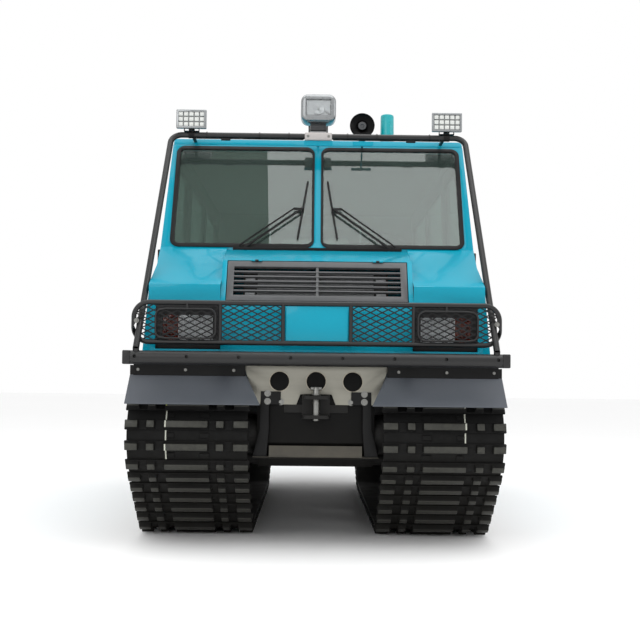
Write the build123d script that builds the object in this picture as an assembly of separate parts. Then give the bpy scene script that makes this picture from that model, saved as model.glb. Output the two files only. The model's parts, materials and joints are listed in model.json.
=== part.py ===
from build123d import *
from math import acos, atan2, cos, degrees, hypot, pi, radians, sin, tan
import os

# Tracked all terrain vehicle, in millimetres. X runs across, the vehicle faces -Y, Z is up.
# The origin is on the ground below the middle of the vehicle, so its left side is at +X.

# Overall sizes, and the places along the vehicle that the rest hangs on
overall_length = 4700.0
body_width = 2070.0
roof_width = 2010.0
front_end = -overall_length / 2
rear_end = overall_length / 2
nose_face_y = front_end + 220.0
screen_foot_y = nose_face_y + 500.0
body_rear_y = rear_end - 150.0
hull_front_y = nose_face_y + 10.0
hull_rear_y = rear_end - 200.0
seat_gap = 0.3
touch_gap = 0.5
panel_gap = 5.0

# Tracks and wheels
track_width = 750.0
track_inner_x = 400.0
track_outer_x = track_inner_x + track_width
track_mid_x = track_inner_x + track_width / 2
belt_thick = 22.0
lug_height = 42.0
lug_base = 62.0
lug_tip = 44.0
lug_pitch = 123.0
lug_groove_rise = 12.0
# Grooves across the lugs, as shares of the track's width from its inner edge
lug_grooves = ((0.134, 0.195), (0.829, 0.884))
shoe_depth = belt_thick + lug_height
wheel_radius = 262.0
wheel_width = 240.0
wheel_groove = 64.0
wheel_groove_depth = 55.0
wheel_dish = 60.0
wheel_rim = 50.0
hub_radius = 62.0
hub_cap_out = 22.0
sprocket_y = hull_front_y + 140.0
sprocket_z = 680.0
sprocket_radius = 236.0
sprocket_teeth = 14
tooth_gap_radius = 26.0
sprocket_disc = 46.0
idler_y = rear_end - 605.0
idler_z = 450.0
idler_radius = 215.0
axle_radius = 30.0
# As many wheels as fit between the first and the last with this space between their rims
first_wheel_y = sprocket_y + 520.0
last_wheel_y = idler_y - 505.0
wheel_space = 100.0
wheel_count = 1 + int((last_wheel_y - first_wheel_y) / (2 * wheel_radius + wheel_space))
wheel_pitch = (last_wheel_y - first_wheel_y) / (wheel_count - 1)
wheel_z = wheel_radius + seat_gap + shoe_depth

# Hull below the floor
hull_half = 360.0
hull_wall = 12.0
hull_bottom = 485.0
hull_toe_z = 640.0
hull_toe_y = hull_front_y + 145.0
hull_tail_z = 800.0
hull_tail_y = hull_rear_y - 300.0
engine_half = 260.0
engine_front_y = hull_front_y + 220.0
engine_length = 820.0
engine_clear = 60.0
arm_lead = 230.0
arm_rise = 195.0
arm_boss = 48.0
arm_thick = 46.0
arm_wheel_gap = 12.0
idler_arm_rise = 40.0
floor_beam = 50.0
drive_radius = 118.0
drive_length = 150.0

# Body box
floor_bottom = 1120.0
floor_thick = 40.0
floor_top = floor_bottom + floor_thick
wall_thick = 45.0
waist_z = 1890.0
roof_top = 2690.0
roof_thick = 45.0
roof_under = roof_top - roof_thick
roof_edge = 28.0
nose_crease_z = 1606.0
nose_knee_y = nose_face_y + 340.0
nose_knee_z = 1757.0
nose_wall = 30.0
screen_lean = 25.0
half_body = body_width / 2
half_roof = roof_width / 2

# Raised middle of the nose with its grille hatch
centre_half = 595.0
grille_foot_z = 1505.0
grille_head_z = 1770.0
grille_head_y = nose_face_y + 150.0
shelf_front_y = screen_foot_y - 60.0
shelf_z = 1868.0
hatch_half = 560.0
hatch_thick = 26.0
hatch_frame = 40.0
louvre_count = 5
louvre_thick = 9.0
louvre_depth = 22.0
hatch_post = 16.0
hatch_knuckle = 7.0
hatch_knuckle_rise = 4.0
hatch_hinge_x = 380.0
hatch_hinge_length = 66.0

# Windscreen
pane_inner_x = 37.0
pane_outer_x = 963.0
pane_foot = 15.0
pane_head = 804.0
pane_corner = 45.0
glass_thick = 6.0
seal_width = 30.0
seal_proud = 8.0

# Lamps in the nose
lamp_in_x = 590.0
lamp_out_x = 990.0
lamp_foot_z = 1206.0
lamp_head_z = 1493.0
lamp_panel_depth = 60.0
lamp_panel_sunk = 10.0
lamp_clear = 3.0
lamp_pocket = 22.0
lens_in_x = 640.0
lens_out_x = 852.0
blinker_out_x = 948.0
lens_foot_z = 1262.0
lens_head_z = 1416.0
lens_thick = 16.0

# Front tubes
bumper_radius = 41.5
bumper_z = 1150.0
bumper_half = 1155.0
bumper_cap = 45.0
bumper_y = front_end + bumper_radius
bumper_stay_x = (520.0, 600.0)
bumper_stay_inset = 4.0
guard_radius = 15.0
guard_half = bumper_half - 67.0
guard_foot_z = 1245.0
guard_head_z = 1485.0
guard_y = front_end + 112.0
guard_bar_radius = 12.0
guard_stay_half = 12.0
guard_stay_high = 8.0
guard_corner = 90.0
guard_bars_x = (205.0, 585.0)
guard_panel_half = 186.0
guard_sheet = 4.0
lamp_ring_radius = 6.0
lamp_ring_in_x = 612.0
lamp_ring_out_x = 955.0
lamp_ring_foot_z = 1268.0
lamp_ring_head_z = 1447.0
lamp_ring_corner = 45.0
lamp_ring_stay = 6.0
mesh_wide = 72.0
mesh_high = 36.0
mesh_strand = 9.0
mesh_thick = 3.0
mesh_notch = 4.0
frame_radius = 19.5
frame_top_z = 2680.0
frame_top_y = screen_foot_y + 200.0
frame_top_half = 1000.0
frame_foot_half = bumper_half - 77.0
frame_foot_y = front_end + 32.0
frame_foot_z = 1205.0
frame_corner = 75.0
frame_stay_x = 855.0
frame_stay_drop = 8.0
frame_stay_bite = 6.0

# Front plate, brackets and tow clevis
plate_thick = 10.0
plate_top_z = 1107.0
plate_foot_z = 873.0
plate_top_half = 446.0
plate_foot_half = 363.0
plate_hole_radius = 59.0
plate_hole_z = 1015.0
plate_hole_x = 224.5
plate_cut_half = 120.0
plate_cut_z = 936.0
clevis_half = 85.0
clevis_jaw = 22.0
clevis_foot_z = 790.0
clevis_head_z = 930.0
clevis_out = 112.0
clevis_round = 30.0
cross_half = 195.0
cross_foot_z = 824.0
cross_head_z = 927.0
cross_thick = 9.0
tow_pin_radius = 20.0
tow_pin_back = 70.0
tow_handle_radius = 10.0
tow_handle_half = 80.0
tow_handle_rise = 52.0
tow_pin_below = 14.0
tow_collar_high = 12.0
pin_fit = 0.1
bracket_thick = 12.0
bracket_head_z = 952.0
bracket_head_x = (216.0, 338.0)
bracket_strap_x = (287.0, 342.0)
bracket_knee_z = 720.0
bracket_foot_in_x = 299.0
lip_z = 543.0
lip_half = 385.0
lip_out = 34.0

# Mud flaps
flap_knee_z = 1041.0
flap_foot_z = 872.0
flap_foot_y = front_end + 20.0
flap_thick = 6.0
flap_outer_x = 1140.0
flap_inner_top = 432.0
flap_inner_foot = 335.0
rear_flap_y = body_rear_y - 120.0
rear_flap_foot_z = 620.0
rear_flap_inset = 25.0
flap_strip_inset = 22.0
flap_strip_drop = 15.0

# Doors and side windows: y and z limits of the openings
door_front_y = screen_foot_y + 160.0
door_rear_y = door_front_y + 1000.0
door_foot_z = 1195.0
door_head_z = 2580.0
pillar_setback = 96.0
door_window_foot_z = 1840.0
door_window_border = 92.0
window_front_y = door_rear_y + 140.0
window_rear_y = body_rear_y - 230.0
window_post = 120.0
window_mid_y = (window_front_y + window_rear_y) / 2
side_windows = ((window_front_y, window_mid_y - window_post / 2),
                (window_mid_y + window_post / 2, window_rear_y))
side_window_foot_z = 1840.0
side_window_head_z = 2488.0
window_corner = 60.0
hinge_radius = 13.0
hinge_out = 15.0
hinge_length = 84.0
hinge_heights = (1330.0, 1840.0)
rear_hinge_drop = 180.0
rear_door_half = 450.0
rear_door_foot_z = 1195.0
rear_door_head_z = 2520.0
rear_window_foot_z = 1840.0
rear_window_border = 100.0
handle_length = 150.0
handle_out = 34.0
handle_bar = (12.0, 22.0)
handle_foot = 18.0
door_handle_drop = 170.0
door_handle_inset = 90.0
rear_handle_drop = 220.0
rear_handle_inset = 80.0

# Roof fittings
lamp_wide = 205.0
lamp_high = 130.0
lamp_deep = 72.0
lamp_x = 865.0
lamp_stem = 30.0
lamp_stem_half = (16.0, 12.0)
lamp_rim = 9.0
lamp_sunk = 9.0
search_base = (188.0, 150.0, 50.0)
search_y = screen_foot_y + 465.0
search_neck = (138.0, 70.0, 78.0)
search_head = (247.0, 165.0, 200.0)
search_cheek = 12.0
search_foot = 6.0
search_pivot_radius = 17.0
search_bridge = (12.0, 24.0)
search_disc_high = 22.0
search_tongue_half = 14.0
search_corner = 45.0
search_face = (176.0, 112.0)
search_face_rise = 6.0
search_sunk = 12.0
horn_x = 310.0
horn_y = screen_foot_y + 480.0
horn_radius = 87.5
horn_depth = 120.0
horn_lip = 14.0
horn_back_radius = 34.0
horn_clear = 4.0
horn_foot_half = 30.0
horn_foot_y = (30.0, 70.0)
beacon_x = 490.0
beacon_y = screen_foot_y + 500.0
beacon_radius = 48.5
beacon_top = 2870.0
beacon_foot_high = 24.0
beacon_dome_share = 0.88

# Wipers, in the plane of the windscreen
wiper_pivot_u = 470.0
wiper_pivot_v = -7.0
wiper_link = 55.0
wiper_joint_u = 100.0
wiper_joint_v = 298.0
wiper_low = 24.0
wiper_thick = 9.0
wiper_arm_wide = 12.0
wiper_rod_wide = 8.0
wiper_boss = 11.0
spindle_radius = 6.0
spindle_foot = 6.0
spindle_block = 20.0
blade_length = 460.0
blade_wide = 12.0
blade_lift = 1.0
blade_high = 17.0
blade_tilt = 8.0
blade_bracket = 16.0
wiper_nut = 6.0
cowl_half = 555.0
cowl_thick = 10.0
cowl_back = 12.0

# Cabin
seat_x = 470.0
seat_wide = 500.0
seat_deep = 480.0
seat_back_y = door_rear_y - 90.0
seat_inset = 50.0
back_inset = 10.0
seat_base_high = 210.0
cushion_thick = 120.0
back_high = 640.0
back_thick = 110.0
bench_wide = 420.0
bench_front_y = door_rear_y + 220.0
bench_rear_y = body_rear_y - 220.0
bench_inset = 30.0
bench_base_high = 260.0
bench_pad = 90.0
bench_back_drop = 100.0
bench_back_thick = 60.0
dash_depth = 330.0
dash_head_z = 1905.0
dash_foot_z = 1560.0
dash_side_gap = 9.0
# Dashboard's section: behind the firewall, height under the waist or the head
dash_ramp = (60.0, 20.0)
dash_lip = (70.0, 60.0)
dash_firewall_drop = 6.0
wheel_x = seat_x
steering_radius = 205.0
steering_tube = 14.0
steering_tilt = 38.0
steering_y = screen_foot_y + 480.0
steering_z = 1905.0
column_radius = 24.0
column_reach = 330.0
hub_high = 30.0
hub_wide = 46.0
hub_drop = 18.0
spoke_wide = 26.0
spoke_thick = 9.0
spoke_drop = 8.0
spoke_angles = (90, 210, 330)

# Rear fittings
step_z = 1080.0
step_half = 900.0
step_stay_x = (500.0, 560.0)
step_stay_half = 16.0
step_stay_foot = 50.0
tail_lamp_inset = (90.0, 190.0)
tail_lamp_z = (1290.0, 1560.0)
tail_lamp_out = 34.0
hitch_half = 130.0
hitch_high = 150.0
hitch_thick = 16.0
hitch_z = 930.0
hitch_bolt_x = 120.0
hitch_bolt_z = 55.0
hitch_bolt_radius = 7.5
ear_x = 290.0
ear_z = 850.0
ear_thick = 20.0
ear_gap = 44.0
ear_out = 96.0
ear_wide = 110.0
ear_bore_radius = 16.0
ear_bore_y = hull_rear_y + 59.5


def span(x, y, z):
    """Block between three pairs of limits."""
    size = (x[1] - x[0], y[1] - y[0], z[1] - z[0])
    return Pos((x[0] + x[1]) / 2, (y[0] + y[1]) / 2, (z[0] + z[1]) / 2) * Box(*size)


def side_slab(points, x0, x1):
    """Outline of (y, z) points made solid between two places across the vehicle."""
    return extrude(Plane.YZ.offset(x0) * make_face(Polyline(*points, close=True)), x1 - x0)


def front_slab(points, y0, y1):
    """Outline of (x, z) points made solid between two places along the vehicle."""
    return extrude(Plane.XZ.offset(-y1) * make_face(Polyline(*points, close=True)), y1 - y0)


def rod(start, end, radius):
    """Round bar from one point to another."""
    axis = Vector(*end) - Vector(*start)
    return extrude(Plane(start, z_dir=axis) * Circle(radius), axis.length)


def tube(points, radius, bend):
    """Round tube along straight runs with round bends."""
    path = FilletPolyline(*points, radius=bend)
    return sweep(Plane(path @ 0, z_dir=path % 0) * Circle(radius), path=path)


def ring_tube(wide, high, radius, bend):
    """Closed round tube along a rounded rectangle, flat in its own plane."""
    path = Wire(RectangleRounded(wide, high, bend).edges())
    return sweep(Plane(path @ 0, z_dir=path % 0) * Circle(radius), path=path)


def both(shape):
    """The shape and its mirror image on the other side, as solids that do not touch."""
    return Compound(children=list(shape.solids()) + list(mirror(shape, about=Plane.YZ).solids()))


def group(shapes):
    """Several solids that do not touch, as one node."""
    return Compound(children=[solid for shape in shapes for solid in shape.solids()])


# Running gear

wheel_ys = [first_wheel_y + wheel_pitch * i for i in range(wheel_count)]
# Circles that the belt runs round, front to rear below and back above: y, z, radius
belt_wheels = [
    (sprocket_y, sprocket_z, sprocket_radius + seat_gap),
    (wheel_ys[0], wheel_z, wheel_radius + seat_gap),
    (wheel_ys[-1], wheel_z, wheel_radius + seat_gap),
    (idler_y, idler_z, idler_radius + seat_gap),
]


def belt_runs(wheels, grow):
    """Straight runs of a belt round the wheels: start, end and the angle of the outward normal."""
    runs = []
    for (ya, za, ra), (yb, zb, rb) in zip(wheels, wheels[1:] + wheels[:1]):
        length = hypot(yb - ya, zb - za)
        normal = atan2(zb - za, yb - ya) - acos((ra - rb) / length)
        start = (ya + (ra + grow) * cos(normal), za + (ra + grow) * sin(normal))
        end = (yb + (rb + grow) * cos(normal), zb + (rb + grow) * sin(normal))
        runs.append((start, end, normal))
    return runs


def belt_face(wheels, grow):
    """Face inside a belt round the wheels, as lines and arcs."""
    runs = belt_runs(wheels, grow)
    edges = []
    for i, (start, end, normal) in enumerate(runs):
        wheel = wheels[(i + 1) % len(wheels)]
        after = runs[(i + 1) % len(runs)]
        turn = (after[2] - normal) % (2 * pi)
        middle = normal + turn / 2
        reach = wheel[2] + grow
        crown = (wheel[0] + reach * cos(middle), wheel[1] + reach * sin(middle))
        edges += [Line(start, end), ThreePointArc(end, crown, after[0])]
    return make_face(edges)


def belt_stations(wheels, grow, pitch):
    """Places of the lugs round the belt, evenly spaced: y, z and the angle of the normal."""
    runs = belt_runs(wheels, grow)
    pieces = []
    for i, (start, end, normal) in enumerate(runs):
        wheel = wheels[(i + 1) % len(wheels)]
        turn = (runs[(i + 1) % len(runs)][2] - normal) % (2 * pi)
        reach = wheel[2] + grow
        pieces.append((hypot(end[0] - start[0], end[1] - start[1]), start, normal, None, 0.0))
        pieces.append((reach * turn, (wheel[0], wheel[1]), normal, reach, turn))
    total = sum(piece[0] for piece in pieces)
    count = round(total / pitch)
    stations = []
    for k in range(count):
        left = total * (k + 0.5) / count
        for length, point, normal, reach, turn in pieces:
            if left <= length:
                break
            left -= length
        if reach is None:
            heading = normal + pi / 2
            stations.append((point[0] + left * cos(heading), point[1] + left * sin(heading), normal))
        else:
            angle = normal + turn * left / length
            stations.append((point[0] + reach * cos(angle), point[1] + reach * sin(angle), angle))
    return stations


def round_belt(corners):
    """Outline of (y, z) points that has the same corners, (along, out) of the belt, at each lug."""
    outline = []
    for y, z, normal in belt_stations(belt_wheels, belt_thick, lug_pitch):
        for along, out in corners:
            outline.append((y - along * sin(normal) + out * cos(normal),
                            z + along * cos(normal) + out * sin(normal)))
    return outline


def track(x0, x1):
    """One rubber belt with a steel lug across it at each station, and grooves across the lugs."""
    lug = ((-lug_base / 2, 0), (-lug_tip / 2, lug_height), (lug_tip / 2, lug_height), (lug_base / 2, 0))
    face = make_face(Polyline(*round_belt(lug), close=True)) - belt_face(belt_wheels, 0)
    shape = extrude(Plane.YZ.offset(x0) * face, x1 - x0)
    low = ((-lug_base / 2, lug_groove_rise), (lug_base / 2, lug_groove_rise))
    outside = belt_face(belt_wheels, 2 * shoe_depth) - make_face(Polyline(*round_belt(low), close=True))
    for share0, share1 in lug_grooves:
        wide = (share1 - share0) * (x1 - x0)
        shape -= extrude(Plane.YZ.offset(x0 + share0 * (x1 - x0)) * outside, wide)
    return shape


def disc(x0, x1, y, z, radius):
    """Round disc on an axle across the vehicle."""
    return rod((x0, y, z), (x1, y, z), radius)


def road_wheel(y, z, radius):
    """Double wheel with a groove for the guide teeth, dished faces and a hub cap."""
    inner_x = track_mid_x - wheel_width / 2
    outer_x = track_mid_x + wheel_width / 2
    wheel = disc(inner_x, outer_x, y, z, radius)
    groove = disc(track_mid_x - wheel_groove / 2, track_mid_x + wheel_groove / 2, y, z, radius + 1)
    wheel -= groove - disc(inner_x, outer_x, y, z, radius - wheel_groove_depth)
    for x0, x1 in ((inner_x - 1, inner_x + wheel_dish), (outer_x - wheel_dish, outer_x + 1)):
        wheel -= disc(x0, x1, y, z, radius - wheel_rim) - disc(x0, x1, y, z, hub_radius)
    return wheel + disc(outer_x - 1, outer_x + hub_cap_out, y, z, hub_radius * 0.7)


def sprocket():
    """Two toothed discs on a drum, with the shaft that comes out of the final drive."""
    inner_x = track_mid_x - wheel_width / 2
    outer_x = track_mid_x + wheel_width / 2
    rims = disc(inner_x, inner_x + sprocket_disc, sprocket_y, sprocket_z, sprocket_radius)
    rims += disc(outer_x - sprocket_disc, outer_x, sprocket_y, sprocket_z, sprocket_radius)
    for k in range(sprocket_teeth):
        angle = 2 * pi * k / sprocket_teeth
        y = sprocket_y + sprocket_radius * cos(angle)
        z = sprocket_z + sprocket_radius * sin(angle)
        rims -= disc(inner_x - 1, outer_x + 1, y, z, tooth_gap_radius)
    drum = disc(inner_x, outer_x + hub_cap_out, sprocket_y, sprocket_z, sprocket_radius * 0.5)
    shaft_x = hull_half + drive_length
    return rims + drum + disc(shaft_x, inner_x, sprocket_y, sprocket_z, axle_radius * 1.6)


def arm(y, z, rise):
    """Trailing arm from its boss on the hull's side to the axle of a wheel."""
    inner_x = track_mid_x - wheel_width / 2
    pivot_y = y - arm_lead
    pivot_z = z + rise
    arm_x = inner_x - arm_thick - arm_wheel_gap
    boss = disc(hull_half, arm_x + arm_thick, pivot_y, pivot_z, arm_boss)
    foot = disc(arm_x, arm_x + arm_thick, y, z, arm_boss)
    axle = disc(arm_x, inner_x - seat_gap, y, z, axle_radius)
    reach = hypot(arm_lead, rise)
    tilt = degrees(atan2(-rise, arm_lead))
    link = Box(arm_thick, reach, arm_boss * 1.3)
    link = Pos(arm_x + arm_thick / 2, (y + pivot_y) / 2, (z + pivot_z) / 2) * Rot(tilt, 0, 0) * link
    return boss + foot + axle + link


def suspension():
    """Arms of one side, the idler's arm and the final drive's housing."""
    pieces = [arm(y, wheel_z, arm_rise) for y in wheel_ys]
    pieces.append(arm(idler_y, idler_z, idler_arm_rise))
    pieces.append(disc(hull_half, hull_half + drive_length, sprocket_y, sprocket_z, drive_radius))
    return group(pieces)


def hull():
    """Steel tub between the tracks, open at the top below the floor."""
    outer = [
        (hull_front_y, floor_bottom), (hull_front_y, hull_toe_z), (hull_toe_y, hull_bottom),
        (hull_tail_y, hull_bottom), (hull_rear_y, hull_tail_z), (hull_rear_y, floor_bottom),
    ]
    w = hull_wall
    inner = [
        (hull_front_y + w, floor_bottom + w), (hull_front_y + w, hull_toe_z + w * 0.6),
        (hull_toe_y + w * 0.6, hull_bottom + w), (hull_tail_y - w * 0.5, hull_bottom + w),
        (hull_rear_y - w, hull_tail_z + w * 0.5), (hull_rear_y - w, floor_bottom + w),
    ]
    tub = side_slab(outer, -hull_half, hull_half) - side_slab(inner, w - hull_half, hull_half - w)
    lip = span((-lip_half, lip_half), (hull_front_y - lip_out, hull_toe_y), (lip_z, lip_z + w))
    skin = side_slab(outer, -hull_half, hull_half)
    return tub + (lip - skin)


# Body

lean = radians(screen_lean)
screen_plane = Plane((0, screen_foot_y, waist_z), x_dir=(1, 0, 0), z_dir=(0, -cos(lean), sin(lean)))


def screen_y(z, depth=0.0):
    """Place along the vehicle of the windscreen's plane, or of one behind it by a depth."""
    return screen_foot_y + (z - waist_z) * tan(lean) + depth / cos(lean)


def section(d0, d1, z0, z1):
    """Side wall's section between two depths below its outer face, as (x, z) points."""
    slope = (half_body - half_roof) / (roof_top - waist_z)

    def face(z, depth):
        return half_body - max(0.0, z - waist_z) * slope - depth

    heights = [z0, waist_z, z1] if z0 < waist_z < z1 else [z0, z1]
    return [(face(z, d0), z) for z in heights] + [(face(z, d1), z) for z in reversed(heights)]


def side_strip(d0, d1, z0, z1):
    """The side wall's section run along the whole body."""
    return front_slab(section(d0, d1, z0, z1), nose_face_y, body_rear_y)


def body_envelope(z0, z1):
    """Everything inside the outer skin of the body's sides."""
    half = section(0, 0, z0, z1)[: 3 if z0 < waist_z < z1 else 2]
    return front_slab(half + [(-x, z) for x, z in reversed(half)], nose_face_y, body_rear_y)


def door_outline(grow):
    """Cab door's outline as (y, z): upright below the waist, raked with the screen above it."""
    head = door_head_z + grow
    foot = door_foot_z - grow
    front = door_front_y - grow
    rake_foot = waist_z + (front - screen_y(waist_z, wall_thick) - pillar_setback) / tan(lean)
    head_y = screen_y(head, wall_thick) + pillar_setback
    return [(front, foot), (front, rake_foot), (head_y, head), (door_rear_y + grow, head),
            (door_rear_y + grow, foot)]


def door_window(grow):
    """Outline of the window in a cab door."""
    low = door_window_foot_z - grow
    high = door_head_z - door_window_border + grow
    rake = pillar_setback + door_window_border - grow
    rear = door_rear_y - door_window_border + grow
    return [(screen_y(low, wall_thick) + rake, low), (screen_y(high, wall_thick) + rake, high),
            (rear, high), (rear, low)]


def rounded_slab(points, x0, x1, radius):
    """Outline of (y, z) points with rounded corners, solid between two places across."""
    face = fillet(make_face(Polyline(*points, close=True)).vertices(), radius)
    return extrude(Plane.YZ.offset(x0) * face, x1 - x0)


def window_points(limits, grow):
    """Four corners of a side window as (y, z) points."""
    y0, y1 = limits[0] - grow, limits[1] + grow
    z0, z1 = side_window_foot_z - grow, side_window_head_z + grow
    return [(y0, z0), (y0, z1), (y1, z1), (y1, z0)]


def hinge_axis_x():
    """Place across of the left door's hinge pins."""
    return half_body + hinge_out


def knuckles(y, reach, part):
    """Hinge barrels of a cab door: the middle third on the door, the rest on the pillar."""
    shapes = []
    third = hinge_length / 3
    for z in hinge_heights:
        if part == "door":
            spans = [(z - third / 2 + touch_gap, z + third / 2 - touch_gap)]
        else:
            spans = [(z - hinge_length / 2, z - third / 2), (z + third / 2, z + hinge_length / 2)]
        for z0, z1 in spans:
            barrel = rod((hinge_axis_x(), y, z0), (hinge_axis_x(), y, z1), hinge_radius)
            leaf_end = y + reach
            leaf = span((half_body, half_body + hinge_radius * 0.5),
                        (min(y, leaf_end), max(y, leaf_end)), (z0, z1))
            shapes.append(barrel + leaf)
    return shapes


def fused(shape, extras):
    """One shape with the extras joined to it."""
    for extra in extras:
        shape = shape + extra
    return shape


door_axis_y = door_front_y - panel_gap / 2


def side_wall():
    """Left side of the body with its door opening and windows."""
    w = wall_thick
    outline = [
        (screen_foot_y + w, floor_top), (screen_foot_y + w, waist_z),
        (screen_y(waist_z, w), waist_z), (screen_y(roof_under, w), roof_under),
        (body_rear_y, roof_under), (body_rear_y, floor_top),
    ]
    wall = side_strip(0, w, floor_top, roof_under) & side_slab(outline, 0, half_body + 1)
    wall -= side_slab(door_outline(panel_gap), 0, half_body + 1)
    for limits in side_windows:
        wall -= rounded_slab(window_points(limits, 0), 0, half_body + 1, window_corner)
    return fused(wall, knuckles(door_axis_y, -hinge_length * 0.55, "wall"))


def side_door():
    """Left cab door with its window cut, hinge barrels and handle."""
    door = side_strip(0, wall_thick, floor_top, roof_under)
    door &= side_slab(door_outline(0), 0, half_body + 1)
    door -= rounded_slab(door_window(0), 0, half_body + 1, window_corner)
    door = fused(door, knuckles(door_axis_y, hinge_length * 0.9, "door"))
    thick, high = handle_bar
    bar_x = half_body + handle_out - thick
    grip_y = door_rear_y - door_handle_inset
    grip_z = (waist_z - door_handle_drop, waist_z - door_handle_drop + high)
    grip = span((bar_x, bar_x + thick), (grip_y - handle_length, grip_y), grip_z)
    for y in (grip_y - handle_length, grip_y - handle_foot):
        grip += span((half_body - 1, bar_x), (y, y + handle_foot), grip_z)
    return door + grip


def pane_in(outline):
    """Sheet of glass in the middle of the side wall's thickness."""
    depth = (wall_thick - glass_thick) / 2
    strip = side_strip(depth, depth + glass_thick, floor_top, roof_under)
    return strip & outline


def side_glass():
    """Fixed side windows of one side."""
    panes = []
    for limits in side_windows:
        cut = rounded_slab(window_points(limits, -seat_gap), 0, half_body, window_corner)
        panes.append(pane_in(cut))
    return group(panes)


def roof():
    """Roof panel with rounded long edges, on top of the walls."""
    outline = [(-half_roof, roof_under), (-half_roof, roof_top), (half_roof, roof_top),
               (half_roof, roof_under)]
    face = fillet(make_face(Polyline(*outline, close=True)).vertices().sort_by(Axis.Y)[-2:], roof_edge)
    slab = extrude(Plane.XZ.offset(-body_rear_y) * face, body_rear_y - nose_face_y)
    side = [(screen_y(roof_under), roof_under), (screen_y(roof_top), roof_top),
            (body_rear_y, roof_top), (body_rear_y, roof_under)]
    slab = slab & side_slab(side, -half_body, half_body)
    return slab & body_envelope(roof_under, roof_top)


def screen_opening(grow, depth0, depth1):
    """Both windscreen openings, grown and cut between two heights over the screen's plane."""
    wide = pane_outer_x - pane_inner_x + 2 * grow
    high = pane_head - pane_foot + 2 * grow
    mid_u = (pane_outer_x + pane_inner_x) / 2
    mid_v = (pane_head + pane_foot) / 2
    cells = []
    for side in (-1, 1):
        cell = Pos(side * mid_u, mid_v) * RectangleRounded(wide, high, pane_corner + grow)
        cells.append(extrude(screen_plane.offset(depth0) * cell, depth1 - depth0))
    return cells


def cab_front():
    """Firewall and windscreen frame."""
    w = wall_thick
    outline = [
        (screen_foot_y, floor_top), (screen_foot_y, waist_z), (screen_y(roof_under), roof_under),
        (screen_y(roof_under, w), roof_under), (screen_y(waist_z, w), waist_z),
        (screen_foot_y + w, waist_z), (screen_foot_y + w, floor_top),
    ]
    wall = side_slab(outline, -half_body, half_body) & body_envelope(floor_top, roof_under)
    for opening in screen_opening(0, -2 * w, w):
        wall -= opening
    return wall


def windscreens():
    """Two flat panes, flush with the frame."""
    return group(screen_opening(-seat_gap, -glass_thick, 0))


def screen_seals():
    """Rubber ring round each pane, over the joint of glass and frame."""
    rings = []
    outer = screen_opening(seal_width / 2, 0, seal_proud)
    inner = screen_opening(-seal_width / 2, -1, seal_proud + 1)
    for a, b in zip(outer, inner):
        rings.append(a - b)
    return group(rings)


def floor():
    """Floor of the body, over the hull and the tracks, with a beam over each front flap."""
    slab = span((-half_body, half_body), (nose_face_y, body_rear_y), (floor_bottom, floor_top))
    beam = span((plate_top_half + seat_gap, half_body), (nose_face_y, nose_face_y + floor_beam),
                (flap_knee_z, floor_bottom))
    return slab + beam + mirror(beam, about=Plane.YZ)


def rear_wall():
    """Rear wall between the sides, with its door opening and hinge barrels."""
    w = wall_thick
    wall = front_slab([(-half_body, floor_top), (-half_body, roof_under), (half_body, roof_under),
                       (half_body, floor_top)], body_rear_y - w, body_rear_y)
    wall &= body_envelope(floor_top, roof_under)
    for side in (side_wall_left, side_wall_right):
        wall -= side
    gap = panel_gap
    wall -= span((-rear_door_half - gap, rear_door_half + gap), (body_rear_y - 2 * w, body_rear_y + 1),
                 (rear_door_foot_z - gap, rear_door_head_z + gap))
    return fused(wall, rear_knuckles("wall"))


rear_hinge_x = -(rear_door_half + panel_gap / 2)
rear_hinge_y = body_rear_y + hinge_out


def rear_knuckles(part):
    """Hinge barrels of the rear door, on the vehicle's right."""
    shapes = []
    third = hinge_length / 3
    for z in hinge_heights + (rear_door_head_z - rear_hinge_drop,):
        if part == "door":
            spans = [(z - third / 2 + touch_gap, z + third / 2 - touch_gap)]
            x0, x1 = rear_hinge_x, rear_hinge_x + hinge_length * 0.9
        else:
            spans = [(z - hinge_length / 2, z - third / 2), (z + third / 2, z + hinge_length / 2)]
            x0, x1 = rear_hinge_x - hinge_length * 0.9, rear_hinge_x
        for z0, z1 in spans:
            barrel = rod((rear_hinge_x, rear_hinge_y, z0), (rear_hinge_x, rear_hinge_y, z1), hinge_radius)
            leaf = span((x0, x1), (body_rear_y, body_rear_y + hinge_radius * 0.5), (z0, z1))
            shapes.append(barrel + leaf)
    return shapes


def rear_window(grow, y0, y1):
    """Rear door's window as a rounded block between two places along the vehicle."""
    wide = 2 * (rear_door_half - rear_window_border + grow)
    high = rear_door_head_z - rear_window_border - rear_window_foot_z + 2 * grow
    mid_z = (rear_door_head_z - rear_window_border + rear_window_foot_z) / 2
    face = Pos(0, mid_z) * RectangleRounded(wide, high, window_corner)
    return extrude(Plane.XZ.offset(-y1) * face, y1 - y0)


def rear_door():
    """Rear door with its window cut, hinge barrels and handle."""
    door = span((-rear_door_half, rear_door_half), (body_rear_y - wall_thick, body_rear_y),
                (rear_door_foot_z, rear_door_head_z))
    door -= rear_window(0, body_rear_y - 2 * wall_thick, body_rear_y + 1)
    door = fused(door, rear_knuckles("door"))
    thick, wide = handle_bar
    bar_y = body_rear_y + handle_out - thick
    grip_x = (rear_door_half - rear_handle_inset, rear_door_half - rear_handle_inset + wide)
    z = waist_z - rear_handle_drop
    grip = span(grip_x, (bar_y, bar_y + thick), (z, z + handle_length))
    for z0 in (z, z + handle_length - handle_foot):
        grip += span(grip_x, (body_rear_y - 1, bar_y), (z0, z0 + handle_foot))
    return door + grip


# Nose

slope_run = grille_head_y - nose_face_y
slope_rise = grille_head_z - grille_foot_z
slope_length = hypot(slope_run, slope_rise)
hatch_plane = Plane((0, nose_face_y, grille_foot_z), x_dir=(1, 0, 0),
                    z_dir=(0, -slope_rise / slope_length, slope_run / slope_length))


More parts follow.
